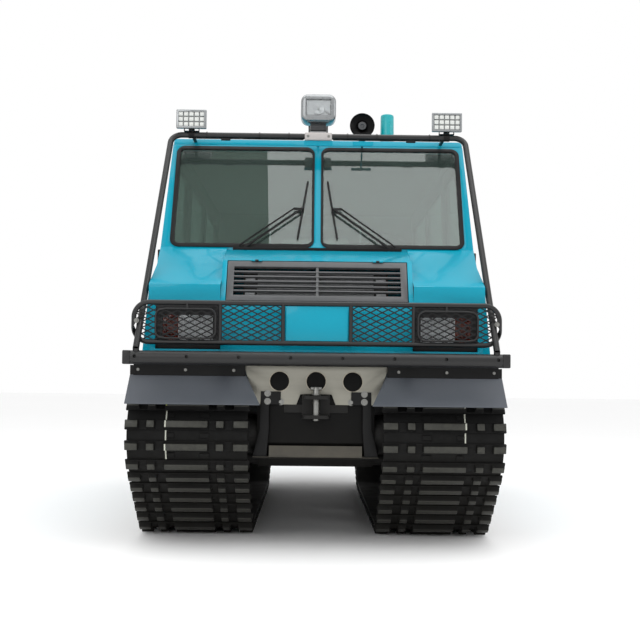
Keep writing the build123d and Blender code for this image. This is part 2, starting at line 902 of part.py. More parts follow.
def nose_block(d, back):
    """Solids of the nose's sides and of its raised middle, less a depth under the skin."""
    # The sides rise gently to the knee and then more steeply to the windscreen
    rise = (nose_knee_z - nose_crease_z) / (nose_knee_y - nose_face_y)
    steep = (waist_z - nose_knee_z) / (screen_foot_y - nose_knee_y)
    knee_shift = d * (hypot(1, steep) - hypot(1, rise)) / (steep - rise)
    foot = floor_top - d
    sides = [
        (nose_face_y + d, foot), (nose_face_y + d, nose_crease_z + d * rise - d * hypot(1, rise)),
        (nose_knee_y + knee_shift, nose_knee_z + knee_shift * rise - d * hypot(1, rise)),
        (back, waist_z + (back - screen_foot_y) * steep - d * hypot(1, steep)), (back, foot),
    ]
    # Under the sloped grille and the shelf the skin's inner corners move by shares of the depth
    lean_in = d * slope_length / slope_rise
    middle = [
        (nose_face_y + d, foot), (nose_face_y + d, grille_foot_z - d * 0.3),
        (grille_head_y + lean_in * 0.7, grille_head_z - d), (shelf_front_y + d * 0.4, shelf_z - d),
        (back, shelf_z - d), (back, foot),
    ]
    side = side_slab(sides, centre_half + d, half_body - d)
    core = side_slab(middle, -centre_half + d, centre_half - d)
    return side + mirror(side, about=Plane.YZ), core


def hatch_opening(grow, depth0, depth1):
    """Block through the raised middle's sloped face."""
    length = slope_length - 2 * panel_gap + 2 * grow
    face = Pos(0, slope_length / 2) * Rectangle(2 * (hatch_half + grow), length)
    return extrude(hatch_plane.offset(depth0) * face, depth1 - depth0)


def hatch_rods(part, radius):
    """Hinge barrels of the grille hatch: the middle third on the hatch, the rest on the nose."""
    third = hatch_hinge_length / 3
    end = hatch_hinge_length / 2
    spans = {
        "hatch": [(touch_gap - third / 2, third / 2 - touch_gap)],
        "nose": [(-end, -third / 2), (third / 2, end)],
        "hatch notch": [(-end - touch_gap, touch_gap / 2 - third / 2),
                        (third / 2 - touch_gap / 2, end + touch_gap)],
        "nose notch": [(-third / 2, third / 2)],
    }[part]
    place = hatch_plane * Pos(0, slope_length - panel_gap / 2, hatch_knuckle_rise)
    _, y, z = tuple(place.position)
    return [rod((x + x0, y, z), (x + x1, y, z), radius)
            for x in (-hatch_hinge_x, hatch_hinge_x) for x0, x1 in spans]


def nose():
    """Painted shell of the nose, open at the back and below, with openings for hatch and lamps."""
    sides, core = nose_block(0, screen_foot_y)
    shell = sides + core
    sides_in, core_in = nose_block(nose_wall, screen_foot_y + 1)
    shell -= sides_in
    shell -= core_in
    inner_half = half_body - nose_wall
    shell -= span((-inner_half, inner_half), (nose_face_y + nose_wall, screen_foot_y + 1),
                  (floor_top - 1, lamp_head_z + lamp_clear))
    shell -= hatch_opening(panel_gap, -2 * nose_wall, nose_wall)
    lamp = span((lamp_in_x, lamp_out_x), (nose_face_y - 1, nose_face_y + nose_wall + 1),
                (lamp_foot_z, lamp_head_z))
    shell = shell - lamp - mirror(lamp, about=Plane.YZ)
    for notch in hatch_rods("nose notch", hatch_knuckle + 1):
        shell -= notch
    return fused(shell, hatch_rods("nose", hatch_knuckle))


def hatch():
    """Grille hatch: frame, slats across and a post in the middle."""
    high = slope_length - 2 * panel_gap
    frame = hatch_opening(0, -hatch_thick, 0)
    hole = Pos(0, slope_length / 2) * Rectangle(2 * (hatch_half - hatch_frame), high - 2 * hatch_frame)
    frame -= extrude(hatch_plane.offset(-2 * hatch_thick) * hole, 4 * hatch_thick)
    inner_high = high - 2 * hatch_frame
    for k in range(louvre_count):
        v = panel_gap + hatch_frame + inner_high * (k + 1) / (louvre_count + 1)
        bar = Pos(0, v) * Rectangle(2 * (hatch_half - hatch_frame) + 2, louvre_thick)
        frame += extrude(hatch_plane.offset(-louvre_depth) * bar, louvre_depth - 2)
    post = Pos(0, slope_length / 2) * Rectangle(hatch_post, inner_high + 2)
    frame += extrude(hatch_plane.offset(-hatch_thick) * post, hatch_thick - 4)
    for notch in hatch_rods("hatch notch", hatch_knuckle + 1):
        frame -= notch
    return fused(frame, hatch_rods("hatch", hatch_knuckle))


def lamp_panels():
    """Black panels in the nose with a pocket for the lenses."""
    y0 = nose_face_y + lamp_panel_sunk
    panel = span((lamp_in_x + seat_gap, lamp_out_x - seat_gap), (y0, y0 + lamp_panel_depth),
                 (lamp_foot_z + seat_gap, lamp_head_z - seat_gap))
    pocket = span((lens_in_x, blinker_out_x), (y0 - 1, y0 + lamp_pocket), (lens_foot_z, lens_head_z))
    return both(panel - pocket)


def lens(x0, x1):
    """Lens block in the pocket of the lamp panel."""
    y1 = nose_face_y + lamp_panel_sunk + lamp_pocket
    block = span((x0 + seat_gap, x1 - seat_gap), (y1 - lens_thick, y1),
                 (lens_foot_z + seat_gap, lens_head_z - seat_gap))
    return both(block)


# Front fittings

def front_plate():
    """Steel plate over the hull's front with three round holes."""
    y0 = hull_front_y - plate_thick
    cut_head = plate_cut_half * 0.8
    points = [
        (-plate_foot_half, plate_foot_z), (-plate_top_half, plate_top_z), (plate_top_half, plate_top_z),
        (plate_foot_half, plate_foot_z), (plate_cut_half, plate_foot_z), (cut_head, plate_cut_z),
        (-cut_head, plate_cut_z), (-plate_cut_half, plate_foot_z),
    ]
    plate = front_slab(points, y0, hull_front_y)
    for x in (-plate_hole_x, 0, plate_hole_x):
        plate -= rod((x, y0 - 1, plate_hole_z), (x, hull_front_y + 1, plate_hole_z), plate_hole_radius)
    return plate


def front_brackets():
    """Black straps from the front plate, with wider heads, down to the lip of the hull."""
    y1 = hull_front_y - plate_thick
    foot_z = lip_z + hull_wall
    points = [
        (bracket_head_x[0], bracket_head_z), (bracket_head_x[1], bracket_head_z),
        (bracket_strap_x[1], bracket_knee_z), (lip_half, foot_z), (bracket_foot_in_x, foot_z),
        (bracket_strap_x[0], bracket_knee_z), (bracket_strap_x[0], plate_foot_z),
        (bracket_head_x[0], plate_foot_z),
    ]
    return both(front_slab(points, y1 - bracket_thick, y1))


def clevis():
    """Tow jaw on the hull's front with the hole for its pin, and the cross-member behind it."""
    back = hull_front_y
    front = hull_front_y - clevis_out
    jaw = span((-clevis_half, clevis_half), (front, back), (clevis_foot_z, clevis_head_z))
    jaw = fillet(jaw.edges().filter_by(Axis.Z).sort_by(Axis.Y)[:2], clevis_round)
    jaw -= span((-clevis_half - 1, clevis_half + 1), (front - 1, back - clevis_jaw),
                (clevis_foot_z + clevis_jaw, clevis_head_z - clevis_jaw))
    jaw -= rod((0, tow_pin_y, clevis_foot_z - 1), (0, tow_pin_y, clevis_head_z + 1),
               tow_pin_radius + pin_fit)
    under = plate_foot_z - seat_gap
    jaw += span((-cross_half, cross_half), (back - cross_thick, back), (cross_foot_z, under))
    return jaw + span((-clevis_half, clevis_half), (back - cross_thick, back), (under - 1, cross_head_z))


tow_pin_y = hull_front_y - tow_pin_back


def tow_pin():
    """Tow pin with its collar and T-handle."""
    pin = rod((0, tow_pin_y, clevis_foot_z - tow_pin_below),
              (0, tow_pin_y, clevis_head_z + tow_handle_rise), tow_pin_radius)
    collar = rod((0, tow_pin_y, clevis_head_z + touch_gap), (0, tow_pin_y, clevis_head_z + tow_collar_high),
                 tow_pin_radius * 1.4)
    z = clevis_head_z + tow_handle_rise - tow_handle_radius
    grip = rod((-tow_handle_half, tow_pin_y, z), (tow_handle_half, tow_pin_y, z), tow_handle_radius)
    return pin + collar + grip


def bumper():
    """Front bumper tube with its end caps and the arms to the floor's edge."""
    half = bumper_half - bumper_cap
    bar = rod((-half, bumper_y, bumper_z), (half, bumper_y, bumper_z), bumper_radius)
    for side in (-1, 1):
        x0, x1 = sorted((side * half, side * bumper_half))
        bar += span((x0, x1), (bumper_y - bumper_radius, bumper_y + bumper_radius),
                    (bumper_z - bumper_radius, bumper_z + bumper_radius))
    stays = span(bumper_stay_x, (bumper_y, nose_face_y),
                 (floor_bottom + bumper_stay_inset, floor_top - bumper_stay_inset))
    return bar + stays + mirror(stays, about=Plane.YZ)


def frame_leg(side, grow):
    """Straight bar along a leg of the tube frame, thicker than the leg by a clearance."""
    foot = (side * frame_foot_half, frame_foot_y, frame_foot_z)
    head = (side * frame_top_half, frame_top_y, frame_top_z)
    return rod(foot, head, frame_radius + grow)


def guard():
    """Brush guard of bent tubes with uprights, rings round the lamps and stays to the nose."""
    high = guard_head_z - guard_foot_z
    mid_z = (guard_head_z + guard_foot_z) / 2
    outer = Pos(0, guard_y, mid_z) * Rot(90, 0, 0) * ring_tube(2 * guard_half, high, guard_radius,
                                                              guard_corner)
    shape = outer
    for x in guard_bars_x:
        for side in (-1, 1):
            shape += rod((side * x, guard_y, guard_foot_z), (side * x, guard_y, guard_head_z),
                         guard_bar_radius)
            shape += span((side * x - guard_stay_half, side * x + guard_stay_half), (guard_y, nose_face_y),
                          (guard_foot_z - guard_stay_high, guard_foot_z + guard_stay_high))
    ring_wide = lamp_ring_out_x - lamp_ring_in_x
    ring_high = lamp_ring_head_z - lamp_ring_foot_z
    ring_x = (lamp_ring_out_x + lamp_ring_in_x) / 2
    ring_z = (lamp_ring_head_z + lamp_ring_foot_z) / 2
    stay_x = (-lamp_ring_stay, lamp_ring_stay)
    stay_y = (guard_y - guard_radius - lamp_ring_radius / 2, guard_y - mesh_thick)
    for side in (-1, 1):
        ring = ring_tube(ring_wide, ring_high, lamp_ring_radius, lamp_ring_corner)
        shape += Pos(side * ring_x, guard_y - guard_radius, ring_z) * Rot(90, 0, 0) * ring
        for stay_z in ((ring_z + ring_high / 2, guard_head_z), (guard_foot_z, ring_z - ring_high / 2)):
            shape += Pos(side * ring_x, 0, 0) * span(stay_x, stay_y, stay_z)
        shape -= frame_leg(side, seat_gap)
    return shape


def guard_panel():
    """Plain blue plate in the middle of the brush guard."""
    y0 = guard_y - guard_sheet / 2
    return span((-guard_panel_half, guard_panel_half), (y0, y0 + guard_sheet),
                (guard_foot_z + guard_radius + seat_gap, guard_head_z - guard_radius - seat_gap))


def diamonds(x0, x1, z0, z1):
    """Diamond holes between two pairs of limits, whole ones only, a strand apart."""
    share = 1 - mesh_strand * hypot(1 / mesh_wide, 1 / mesh_high)
    half_wide, half_high = mesh_wide / 2 * share, mesh_high / 2 * share
    mid_x, mid_z = (x0 + x1) / 2, (z0 + z1) / 2
    columns = int((x1 - x0) / mesh_wide) + 1
    rows = int((z1 - z0) / mesh_high) + 1
    holes = []
    for i in range(-columns, columns + 1):
        for j in range(-rows, rows + 1):
            x, z = mid_x + i * mesh_wide / 2, mid_z + j * mesh_high / 2
            inside = x0 < x - half_wide and x + half_wide < x1 and z0 < z - half_high and z + half_high < z1
            if inside and (i + j) % 2 == 0:
                corners = ((x - half_wide, z), (x, z + half_high), (x + half_wide, z), (x, z - half_high))
                holes.append(make_face(Polyline(*corners, close=True)))
    return holes


def guard_mesh():
    """Mesh sheets between the uprights of the brush guard, notched round the tube frame's legs."""
    z0 = guard_foot_z + guard_radius + seat_gap
    z1 = guard_head_z - guard_radius - seat_gap
    upright = guard_bar_radius + seat_gap
    outer = guard_half - guard_radius - seat_gap
    middle_limits = (guard_bars_x[0] + upright, guard_bars_x[1] - upright)
    sheets = []
    for x0, x1 in (middle_limits, (guard_bars_x[1] + upright, outer)):
        face = make_face(Polyline((x0, z0), (x0, z1), (x1, z1), (x1, z0), close=True))
        if x1 == outer:
            face = fillet(face.vertices().sort_by(Axis.X)[-2:], guard_corner - guard_radius)
        face -= diamonds(x0, x1, z0, z1)
        sheets.append(extrude(Plane.XZ.offset(-guard_y - mesh_thick / 2) * face, mesh_thick))
    notched = sheets[1] - frame_leg(1, mesh_notch)
    sheets[1] = max(notched.solids(), key=lambda solid: solid.volume)
    return both(group(sheets))


def roll_frame():
    """Outer tube frame from the bumper's ends over the windscreen, with stays to the roof."""
    points = [
        (-frame_foot_half, frame_foot_y, frame_foot_z), (-frame_top_half, frame_top_y, frame_top_z),
        (frame_top_half, frame_top_y, frame_top_z), (frame_foot_half, frame_foot_y, frame_foot_z),
    ]
    shape = tube(points, frame_radius, frame_corner)
    for side in (-1, 1):
        foot = (side * frame_foot_half, frame_foot_y, frame_foot_z)
        shape += rod(foot, (side * frame_foot_half, bumper_y, bumper_z), frame_radius)
        z = frame_top_z - frame_stay_drop
        back = (side * frame_stay_x, screen_y(z) + frame_stay_bite, z)
        shape += rod((side * frame_stay_x, frame_top_y, z), back, frame_radius * 0.6)
    shape -= bumper_solid
    return shape - roof_solid - cab_front_solid


# Mud flaps

def front_flaps():
    """Sheet flaps in front of the tracks: an upright strip and a sloped apron."""
    y0 = nose_face_y - flap_thick
    strip = span((flap_inner_top + flap_strip_inset, flap_outer_x), (y0, nose_face_y),
                 (flap_knee_z, floor_bottom - flap_strip_drop))
    apron = [(nose_face_y, flap_knee_z), (flap_foot_y, flap_foot_z),
             (flap_foot_y, flap_foot_z + flap_thick), (y0, flap_knee_z + flap_thick)]
    sheet = side_slab(apron, flap_inner_foot, flap_outer_x)
    cut = [(flap_inner_foot - 1, flap_foot_y - 1), (flap_inner_foot, flap_foot_y - 1),
           (flap_inner_top, nose_face_y + 1), (flap_inner_foot - 1, nose_face_y + 1)]
    corner = extrude(Plane.XY.offset(flap_foot_z - 1) * make_face(Polyline(*cut, close=True)),
                     flap_knee_z - flap_foot_z + 2 * flap_thick)
    return strip + (sheet - corner)


def rear_flaps():
    """Upright sheet flaps behind the tracks."""
    across = (track_inner_x + rear_flap_inset, track_outer_x - rear_flap_inset)
    return span(across, (rear_flap_y, rear_flap_y + flap_thick), (rear_flap_foot_z, floor_bottom))


# Wipers

def on_screen(face, low, high):
    """Face in the windscreen's plane made solid between two heights over it."""
    return extrude(screen_plane.offset(low) * face, high - low)


def link_face(start, end, wide):
    """Straight bar with round ends between two points of the windscreen's plane."""
    length = hypot(end[0] - start[0], end[1] - start[1])
    turn = degrees(atan2(end[1] - start[1], end[0] - start[0]))
    middle = ((start[0] + end[0]) / 2, (start[1] + end[1]) / 2)
    return Pos(*middle) * Rot(0, 0, turn) * SlotCenterToCenter(length, wide)


def wiper_arm():
    """Main arm of the left wiper with its boss."""
    pivot = (wiper_pivot_u, wiper_pivot_v)
    joint = (wiper_joint_u, wiper_joint_v)
    top = wiper_low + wiper_thick
    shape = on_screen(link_face(pivot, joint, wiper_arm_wide), wiper_low, top)
    return shape + on_screen(Pos(*pivot) * Circle(wiper_boss), wiper_low, top + wiper_nut)


def wiper_rod():
    """Second rod of the left wiper, parallel to the arm."""
    pivot = (wiper_pivot_u + wiper_link, wiper_pivot_v)
    joint = (wiper_joint_u + wiper_link, wiper_joint_v)
    top = wiper_low + wiper_thick
    shape = on_screen(link_face(pivot, joint, wiper_rod_wide), wiper_low, top)
    return shape + on_screen(Pos(*pivot) * Circle(wiper_boss * 0.8), wiper_low, top)


def wiper_blade():
    """Blade of the left wiper with the bracket that both rods hold."""
    bar = Pos(wiper_joint_u, wiper_joint_v) * Rot(0, 0, blade_tilt) * Rectangle(blade_wide, blade_length)
    shape = on_screen(bar, blade_lift, blade_high)
    bracket = link_face((wiper_joint_u, wiper_joint_v), (wiper_joint_u + wiper_link, wiper_joint_v),
                        blade_bracket)
    return shape + on_screen(bracket, blade_high - 1, wiper_low - touch_gap)


def cowl():
    """Black strip below the windscreen with the wipers' spindles."""
    top = shelf_z + cowl_thick
    shape = span((-cowl_half, cowl_half), (shelf_front_y + cowl_back, screen_foot_y), (shelf_z, top))
    for side in (-1, 1):
        for u in (wiper_pivot_u, wiper_pivot_u + wiper_link):
            block = span((side * u - spindle_block / 2, side * u + spindle_block / 2),
                         (screen_foot_y - 1.2 * spindle_block, screen_foot_y - 1), (top, waist_z - touch_gap))
            pin = on_screen(Pos(side * u, wiper_pivot_v) * Circle(spindle_radius), spindle_foot,
                            wiper_low - touch_gap)
            shape += block + pin
    return shape


# Roof fittings

def work_lamps():
    """Square lamps on stems over the corners of the tube frame."""
    foot = frame_top_z + frame_radius + lamp_stem
    head = foot + lamp_high
    face_y = frame_top_y - lamp_deep / 2
    case = span((lamp_x - lamp_wide / 2, lamp_x + lamp_wide / 2), (face_y, face_y + lamp_deep), (foot, head))
    case -= span((lamp_x - lamp_wide / 2 + lamp_rim, lamp_x + lamp_wide / 2 - lamp_rim),
                 (face_y - 1, face_y + lamp_sunk), (foot + lamp_rim, head - lamp_rim))
    wide, deep = lamp_stem_half
    stem = span((lamp_x - wide, lamp_x + wide), (frame_top_y - deep, frame_top_y + deep), (frame_top_z, foot))
    return both((case + stem) - roll_frame_solid)


def searchlight_base():
    """Block of the searchlight's drive on the roof."""
    wide, deep, high = search_base
    return span((-wide / 2, wide / 2), (search_y - deep / 2, search_y + deep / 2),
                (roof_top, roof_top + high))


search_pan_z = roof_top + search_base[2]
search_tilt_z = search_pan_z + touch_gap + search_neck[2] * 0.62


def searchlight_neck():
    """Turning neck with two cheeks that hold the head."""
    wide, deep, high = search_neck
    z0 = search_pan_z + touch_gap
    neck = rod((0, search_y, z0), (0, search_y, z0 + search_disc_high), deep / 2)
    half = deep * 0.35
    low, top = z0 + search_bridge[0], z0 + search_bridge[1]
    for side in (-1, 1):
        x0, x1 = sorted((side * (wide / 2 - search_cheek), side * wide / 2))
        neck += span((x0, x1), (search_y - half, search_y + half), (low, search_tilt_z))
        neck += rod((x0, search_y, search_tilt_z), (x1, search_y, search_tilt_z), half)
    return neck + span((-wide / 2, wide / 2), (search_y - half, search_y + half), (low, top))


def searchlight_head():
    """Lamp case with a sunk face, and its foot between the neck's cheeks."""
    wide, deep, high = search_head
    case_foot = search_pan_z + search_neck[2] + touch_gap + search_foot
    face_y = search_y - deep / 2
    case = span((-wide / 2, wide / 2), (face_y, face_y + deep), (case_foot, case_foot + high))
    case = fillet(case.edges().filter_by(Axis.Y), search_corner)
    face_wide, face_high = search_face
    mid_z = case_foot + high / 2 + search_face_rise
    case -= span((-face_wide / 2, face_wide / 2), (face_y - 1, face_y + search_sunk),
                 (mid_z - face_high / 2, mid_z + face_high / 2))
    inner = search_neck[0] / 2 - search_cheek - touch_gap
    foot = rod((-inner, search_y, search_tilt_z), (inner, search_y, search_tilt_z), search_pivot_radius)
    tongue = span((-inner, inner), (search_y - search_tongue_half, search_y + search_tongue_half),
                  (search_tilt_z, case_foot + 1))
    return case + foot + tongue


def horn():
    """Round horn lying on the roof with its mouth to the front."""
    z = roof_top + horn_radius + horn_clear
    outline = Polyline((0, 0), (0, horn_radius), (horn_lip, horn_radius), (horn_depth, horn_back_radius),
                       (horn_depth, 0), close=True)
    bell = revolve(Plane.YZ * make_face(outline), axis=Axis.Y)
    foot = span((-horn_foot_half, horn_foot_half), horn_foot_y, (roof_top - z, -horn_back_radius))
    return Pos(horn_x, horn_y - horn_depth / 2, z) * (bell + foot)


def beacon():
    """Round beacon with its foot."""
    foot_z = roof_top + beacon_foot_high
    foot = rod((beacon_x, beacon_y, roof_top), (beacon_x, beacon_y, foot_z), beacon_radius)
    dome = rod((beacon_x, beacon_y, foot_z), (beacon_x, beacon_y, beacon_top),
               beacon_radius * beacon_dome_share)
    return foot + dome


# Cabin

def seat_frames():
    """Boxes that carry the front seats."""
    half = seat_wide / 2 - seat_inset
    box = span((seat_x - half, seat_x + half), (seat_back_y - seat_deep + seat_inset, seat_back_y),
               (floor_top, floor_top + seat_base_high))
    return both(box)


def front_seats():
    """Cushion and backrest of each front seat."""
    z0 = floor_top + seat_base_high + seat_gap
    cushion = span((seat_x - seat_wide / 2, seat_x + seat_wide / 2), (seat_back_y - seat_deep, seat_back_y),
                   (z0, z0 + cushion_thick))
    half = seat_wide / 2 - back_inset
    back = span((seat_x - half, seat_x + half), (seat_back_y + seat_gap, seat_back_y + back_thick),
                (z0, z0 + back_high))
    return both(group([cushion, back]))


def bench_frames():
    """Lockers along both sides of the rear cabin, below the bench pads."""
    inner = half_body - wall_thick
    box = span((inner - bench_wide + bench_inset, inner), (bench_front_y, bench_rear_y),
               (floor_top, floor_top + bench_base_high))
    return both(box)


def bench_pads():
    """Seat pad and back pad of each side bench."""
    inner = half_body - wall_thick - seat_gap
    z0 = floor_top + bench_base_high + seat_gap
    seat = span((inner - bench_wide, inner), (bench_front_y, bench_rear_y), (z0, z0 + bench_pad))
    z1 = z0 + bench_pad + seat_gap
    back = span((inner - bench_back_thick, inner), (bench_front_y, bench_rear_y),
                (z1, waist_z - bench_back_drop))
    return both(group([seat, back]))


def dashboard():
    """Dashboard across the cab behind the firewall."""
    inner = half_body - wall_thick
    y0 = screen_foot_y + wall_thick
    y1 = y0 + dash_depth
    points = [
        (y0, dash_foot_z), (y0, waist_z - dash_firewall_drop),
        (y0 + dash_ramp[0], dash_head_z - dash_ramp[1]),
        (y1 - dash_lip[0], dash_head_z), (y1, dash_head_z - dash_lip[1]), (y1 - dash_lip[1], dash_foot_z),
    ]
    return side_slab(points, dash_side_gap - inner, inner - dash_side_gap) - cab_front_solid


steer = radians(steering_tilt)
steer_axis = (0.0, sin(steer), cos(steer))


def steering_column():
    """Column from the dashboard up to the steering wheel."""
    hub = hub_drop + hub_high / 2 + touch_gap
    top = (wheel_x, steering_y - hub * steer_axis[1], steering_z - hub * steer_axis[2])
    foot = (wheel_x, top[1] - column_reach * steer_axis[1], top[2] - column_reach * steer_axis[2])
    return rod(foot, top, column_radius) - dashboard_solid


def steering_wheel():
    """Rim, three spokes and hub."""
    rim = Torus(steering_radius - steering_tube, steering_tube)
    hub = Pos(0, 0, -hub_drop) * Cylinder(hub_wide, hub_high)
    shape = rim + hub
    reach = steering_radius - steering_tube
    for angle in spoke_angles:
        spoke = Pos(reach / 2, 0, -spoke_drop) * Box(reach, spoke_wide, spoke_thick)
        shape += Rot(0, 0, angle) * spoke
    place = Plane((wheel_x, steering_y, steering_z), x_dir=(1, 0, 0), z_dir=steer_axis)
    return place * shape


# Rear fittings

def rear_bumper():
    """Step tube behind the body with its two arms."""
    y = rear_end - bumper_radius
    bar = rod((-step_half, y, step_z), (step_half, y, step_z), bumper_radius)
    low = step_z - step_stay_half
    stays = span(step_stay_x, (hull_rear_y, y), (low, step_z + step_stay_half))
    stays += span(step_stay_x, (hull_rear_y - step_stay_foot, hull_rear_y), (low, floor_bottom))
    return bar + stays + mirror(stays, about=Plane.YZ)


def hitch():
    """Plate on the hull's rear with four bolt holes, and two ears each side for a shackle's pin."""
    y0 = hull_rear_y
    plate = span((-hitch_half, hitch_half), (y0, y0 + hitch_thick),
                 (hitch_z - hitch_high / 2, hitch_z + hitch_high / 2))
    for x in (-hitch_bolt_x / 2, hitch_bolt_x / 2):
        for z in (hitch_z - hitch_bolt_z / 2, hitch_z + hitch_bolt_z / 2):
            plate -= rod((x, y0 - 1, z), (x, y0 + hitch_thick + 1, z), hitch_bolt_radius)
    shapes = [plate]
    for side in (-1, 1):
        for step in (-1, 1):
            x = side * ear_x
            z = ear_z + step * (ear_gap + ear_thick) / 2
            ear = span((x - ear_wide / 2, x + ear_wide / 2), (y0, y0 + ear_out),
                       (z - ear_thick / 2, z + ear_thick / 2))
            shapes.append(ear - rod((x, ear_bore_y, z - ear_thick), (x, ear_bore_y, z + ear_thick),
                                    ear_bore_radius))
    return group(shapes)


def rear_lamps():
    """Tall lamp on each rear corner."""
    inner_x, outer_x = half_body - tail_lamp_inset[1], half_body - tail_lamp_inset[0]
    return both(span((inner_x, outer_x), (body_rear_y, body_rear_y + tail_lamp_out), tail_lamp_z))


def engine():
    """Engine as one plain block on the hull's floor."""
    return span((-engine_half, engine_half), (engine_front_y, engine_front_y + engine_length),
                (hull_bottom + hull_wall, floor_bottom - engine_clear))


bumper_solid = bumper()
roof_solid = roof()
cab_front_solid = cab_front()
roll_frame_solid = roll_frame()
side_wall_left = side_wall()
side_wall_right = mirror(side_wall_left, about=Plane.YZ)
dashboard_solid = dashboard()
door_left = side_door()
door_glass = pane_in(rounded_slab(door_window(-seat_gap), 0, half_body, window_corner))
track_left = track(track_inner_x, track_outer_x)
wheels = group([road_wheel(y, wheel_z, wheel_radius) for y in wheel_ys])
arm_left, rod_left, blade_left = wiper_arm(), wiper_rod(), wiper_blade()

parts = {
    "hull_tub": hull(),
    "front_plate": front_plate(),
    "front_brackets": front_brackets(),
    "tow_clevis": clevis(),
    "tow_pin": tow_pin(),
    "engine_block": engine(),
    "suspension": both(suspension()),
    "road_wheels": both(wheels),
    "sprockets": both(sprocket()),
    "idlers": both(road_wheel(idler_y, idler_z, idler_radius)),
    "track_left": track_left,
    "track_right": mirror(track_left, about=Plane.YZ),
    "mud_flaps": both(group([front_flaps(), rear_flaps()])),
    "bumper": bumper_solid,
    "brush_guard": guard(),
    "guard_panel": guard_panel(),
    "guard_mesh": guard_mesh(),
    "roll_frame": roll_frame_solid,
    "work_lamps": work_lamps(),
    "searchlight_base": searchlight_base(),
    "searchlight_neck": searchlight_neck(),
    "searchlight_head": searchlight_head(),
    "horn": horn(),
    "beacon": beacon(),
    "body_floor": floor(),
    "nose_shell": nose(),
    "grille_hatch": hatch(),
    "lamp_panels": lamp_panels(),
    "headlamp_lenses": lens(lens_in_x, lens_out_x),
    "indicator_lenses": lens(lens_out_x, blinker_out_x),
    "cab_front": cab_front_solid,
    "fixed_glass": group([windscreens(), both(side_glass())]),
    "screen_seals": screen_seals(),
    "cowl": cowl(),
    "side_walls": group([side_wall_left, side_wall_right]),
    "roof": roof_solid,
    "rear_wall": rear_wall(),
    "door_left": door_left,
    "door_right": mirror(door_left, about=Plane.YZ),
    "door_glass_left": door_glass,
    "door_glass_right": mirror(door_glass, about=Plane.YZ),
    "rear_door": rear_door(),
    "rear_door_glass": rear_window(-seat_gap, body_rear_y - (wall_thick + glass_thick) / 2,
                                   body_rear_y - (wall_thick - glass_thick) / 2),
    "dashboard": dashboard_solid,
    "steering_column": steering_column(),
    "steering_wheel": steering_wheel(),
    "seat_frames": group([seat_frames(), bench_frames()]),
    "front_seats": front_seats(),
    "bench_pads": bench_pads(),
    "wiper_arm_left": arm_left,
    "wiper_rod_left": rod_left,
    "wiper_blade_left": blade_left,
    "wiper_arm_right": mirror(arm_left, about=Plane.YZ),
    "wiper_rod_right": mirror(rod_left, about=Plane.YZ),
    "wiper_blade_right": mirror(blade_left, about=Plane.YZ),
    "rear_fittings": group([rear_bumper(), hitch()]),
    "rear_lamps": rear_lamps(),
}

os.makedirs("parts", exist_ok=True)
for name, shape in parts.items():
    export_step(shape, f"parts/{name}.step")
print(len(parts), "nodes written")
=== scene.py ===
import bpy
import bmesh
import json
from math import acos, atan2, cos, hypot, pi, radians, sin, tan
from mathutils import Matrix, Vector

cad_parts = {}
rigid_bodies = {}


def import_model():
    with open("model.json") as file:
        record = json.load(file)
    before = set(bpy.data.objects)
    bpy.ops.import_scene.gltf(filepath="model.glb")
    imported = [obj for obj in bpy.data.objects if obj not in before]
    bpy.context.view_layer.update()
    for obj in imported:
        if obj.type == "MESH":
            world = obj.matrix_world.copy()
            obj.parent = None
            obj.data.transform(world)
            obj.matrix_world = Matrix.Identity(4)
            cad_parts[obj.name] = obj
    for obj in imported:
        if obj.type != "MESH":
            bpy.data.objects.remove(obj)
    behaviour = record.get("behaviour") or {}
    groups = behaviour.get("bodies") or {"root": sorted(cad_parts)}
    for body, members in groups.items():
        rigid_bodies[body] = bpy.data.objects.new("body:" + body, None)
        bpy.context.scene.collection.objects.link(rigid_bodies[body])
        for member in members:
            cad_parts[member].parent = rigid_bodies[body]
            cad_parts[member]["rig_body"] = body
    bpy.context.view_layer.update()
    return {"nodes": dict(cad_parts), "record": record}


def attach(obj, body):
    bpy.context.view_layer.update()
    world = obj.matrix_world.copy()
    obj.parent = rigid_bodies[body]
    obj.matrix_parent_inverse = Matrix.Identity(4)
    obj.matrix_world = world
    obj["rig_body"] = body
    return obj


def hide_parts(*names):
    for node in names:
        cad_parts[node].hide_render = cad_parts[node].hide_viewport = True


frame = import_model()
cad = frame["nodes"]
slotOf = {part["node"]: part["material_slot"] for part in frame["record"]["subparts"]}
bodyOf = {name: node["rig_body"] for name, node in cad.items()}
print("frame:", len(cad), "nodes")


# Camera and studio

camera = {
    "place": (-0.0414, -8.9204, 1.0755),
    "pitch": 2.679,     # degrees up from level
    "yaw": 0.511,       # degrees towards +X
    "roll": 0.644,
    "lens": 62.21,      # mm on a 36 mm sensor, the photograph's frame being square
}


def addCamera():
    data = bpy.data.cameras.new("frontCamera")
    data.sensor_width = 36.0
    data.lens = camera["lens"]
    data.clip_end = 200.0
    obj = bpy.data.objects.new("frontCamera", data)
    bpy.context.scene.collection.objects.link(obj)
    turn = (Matrix.Rotation(radians(-camera["yaw"]), 4, "Z")
            @ Matrix.Rotation(radians(90 + camera["pitch"]), 4, "X")
            @ Matrix.Rotation(radians(camera["roll"]), 4, "Z"))
    obj.matrix_world = Matrix.Translation(camera["place"]) @ turn
    bpy.context.scene.camera = obj


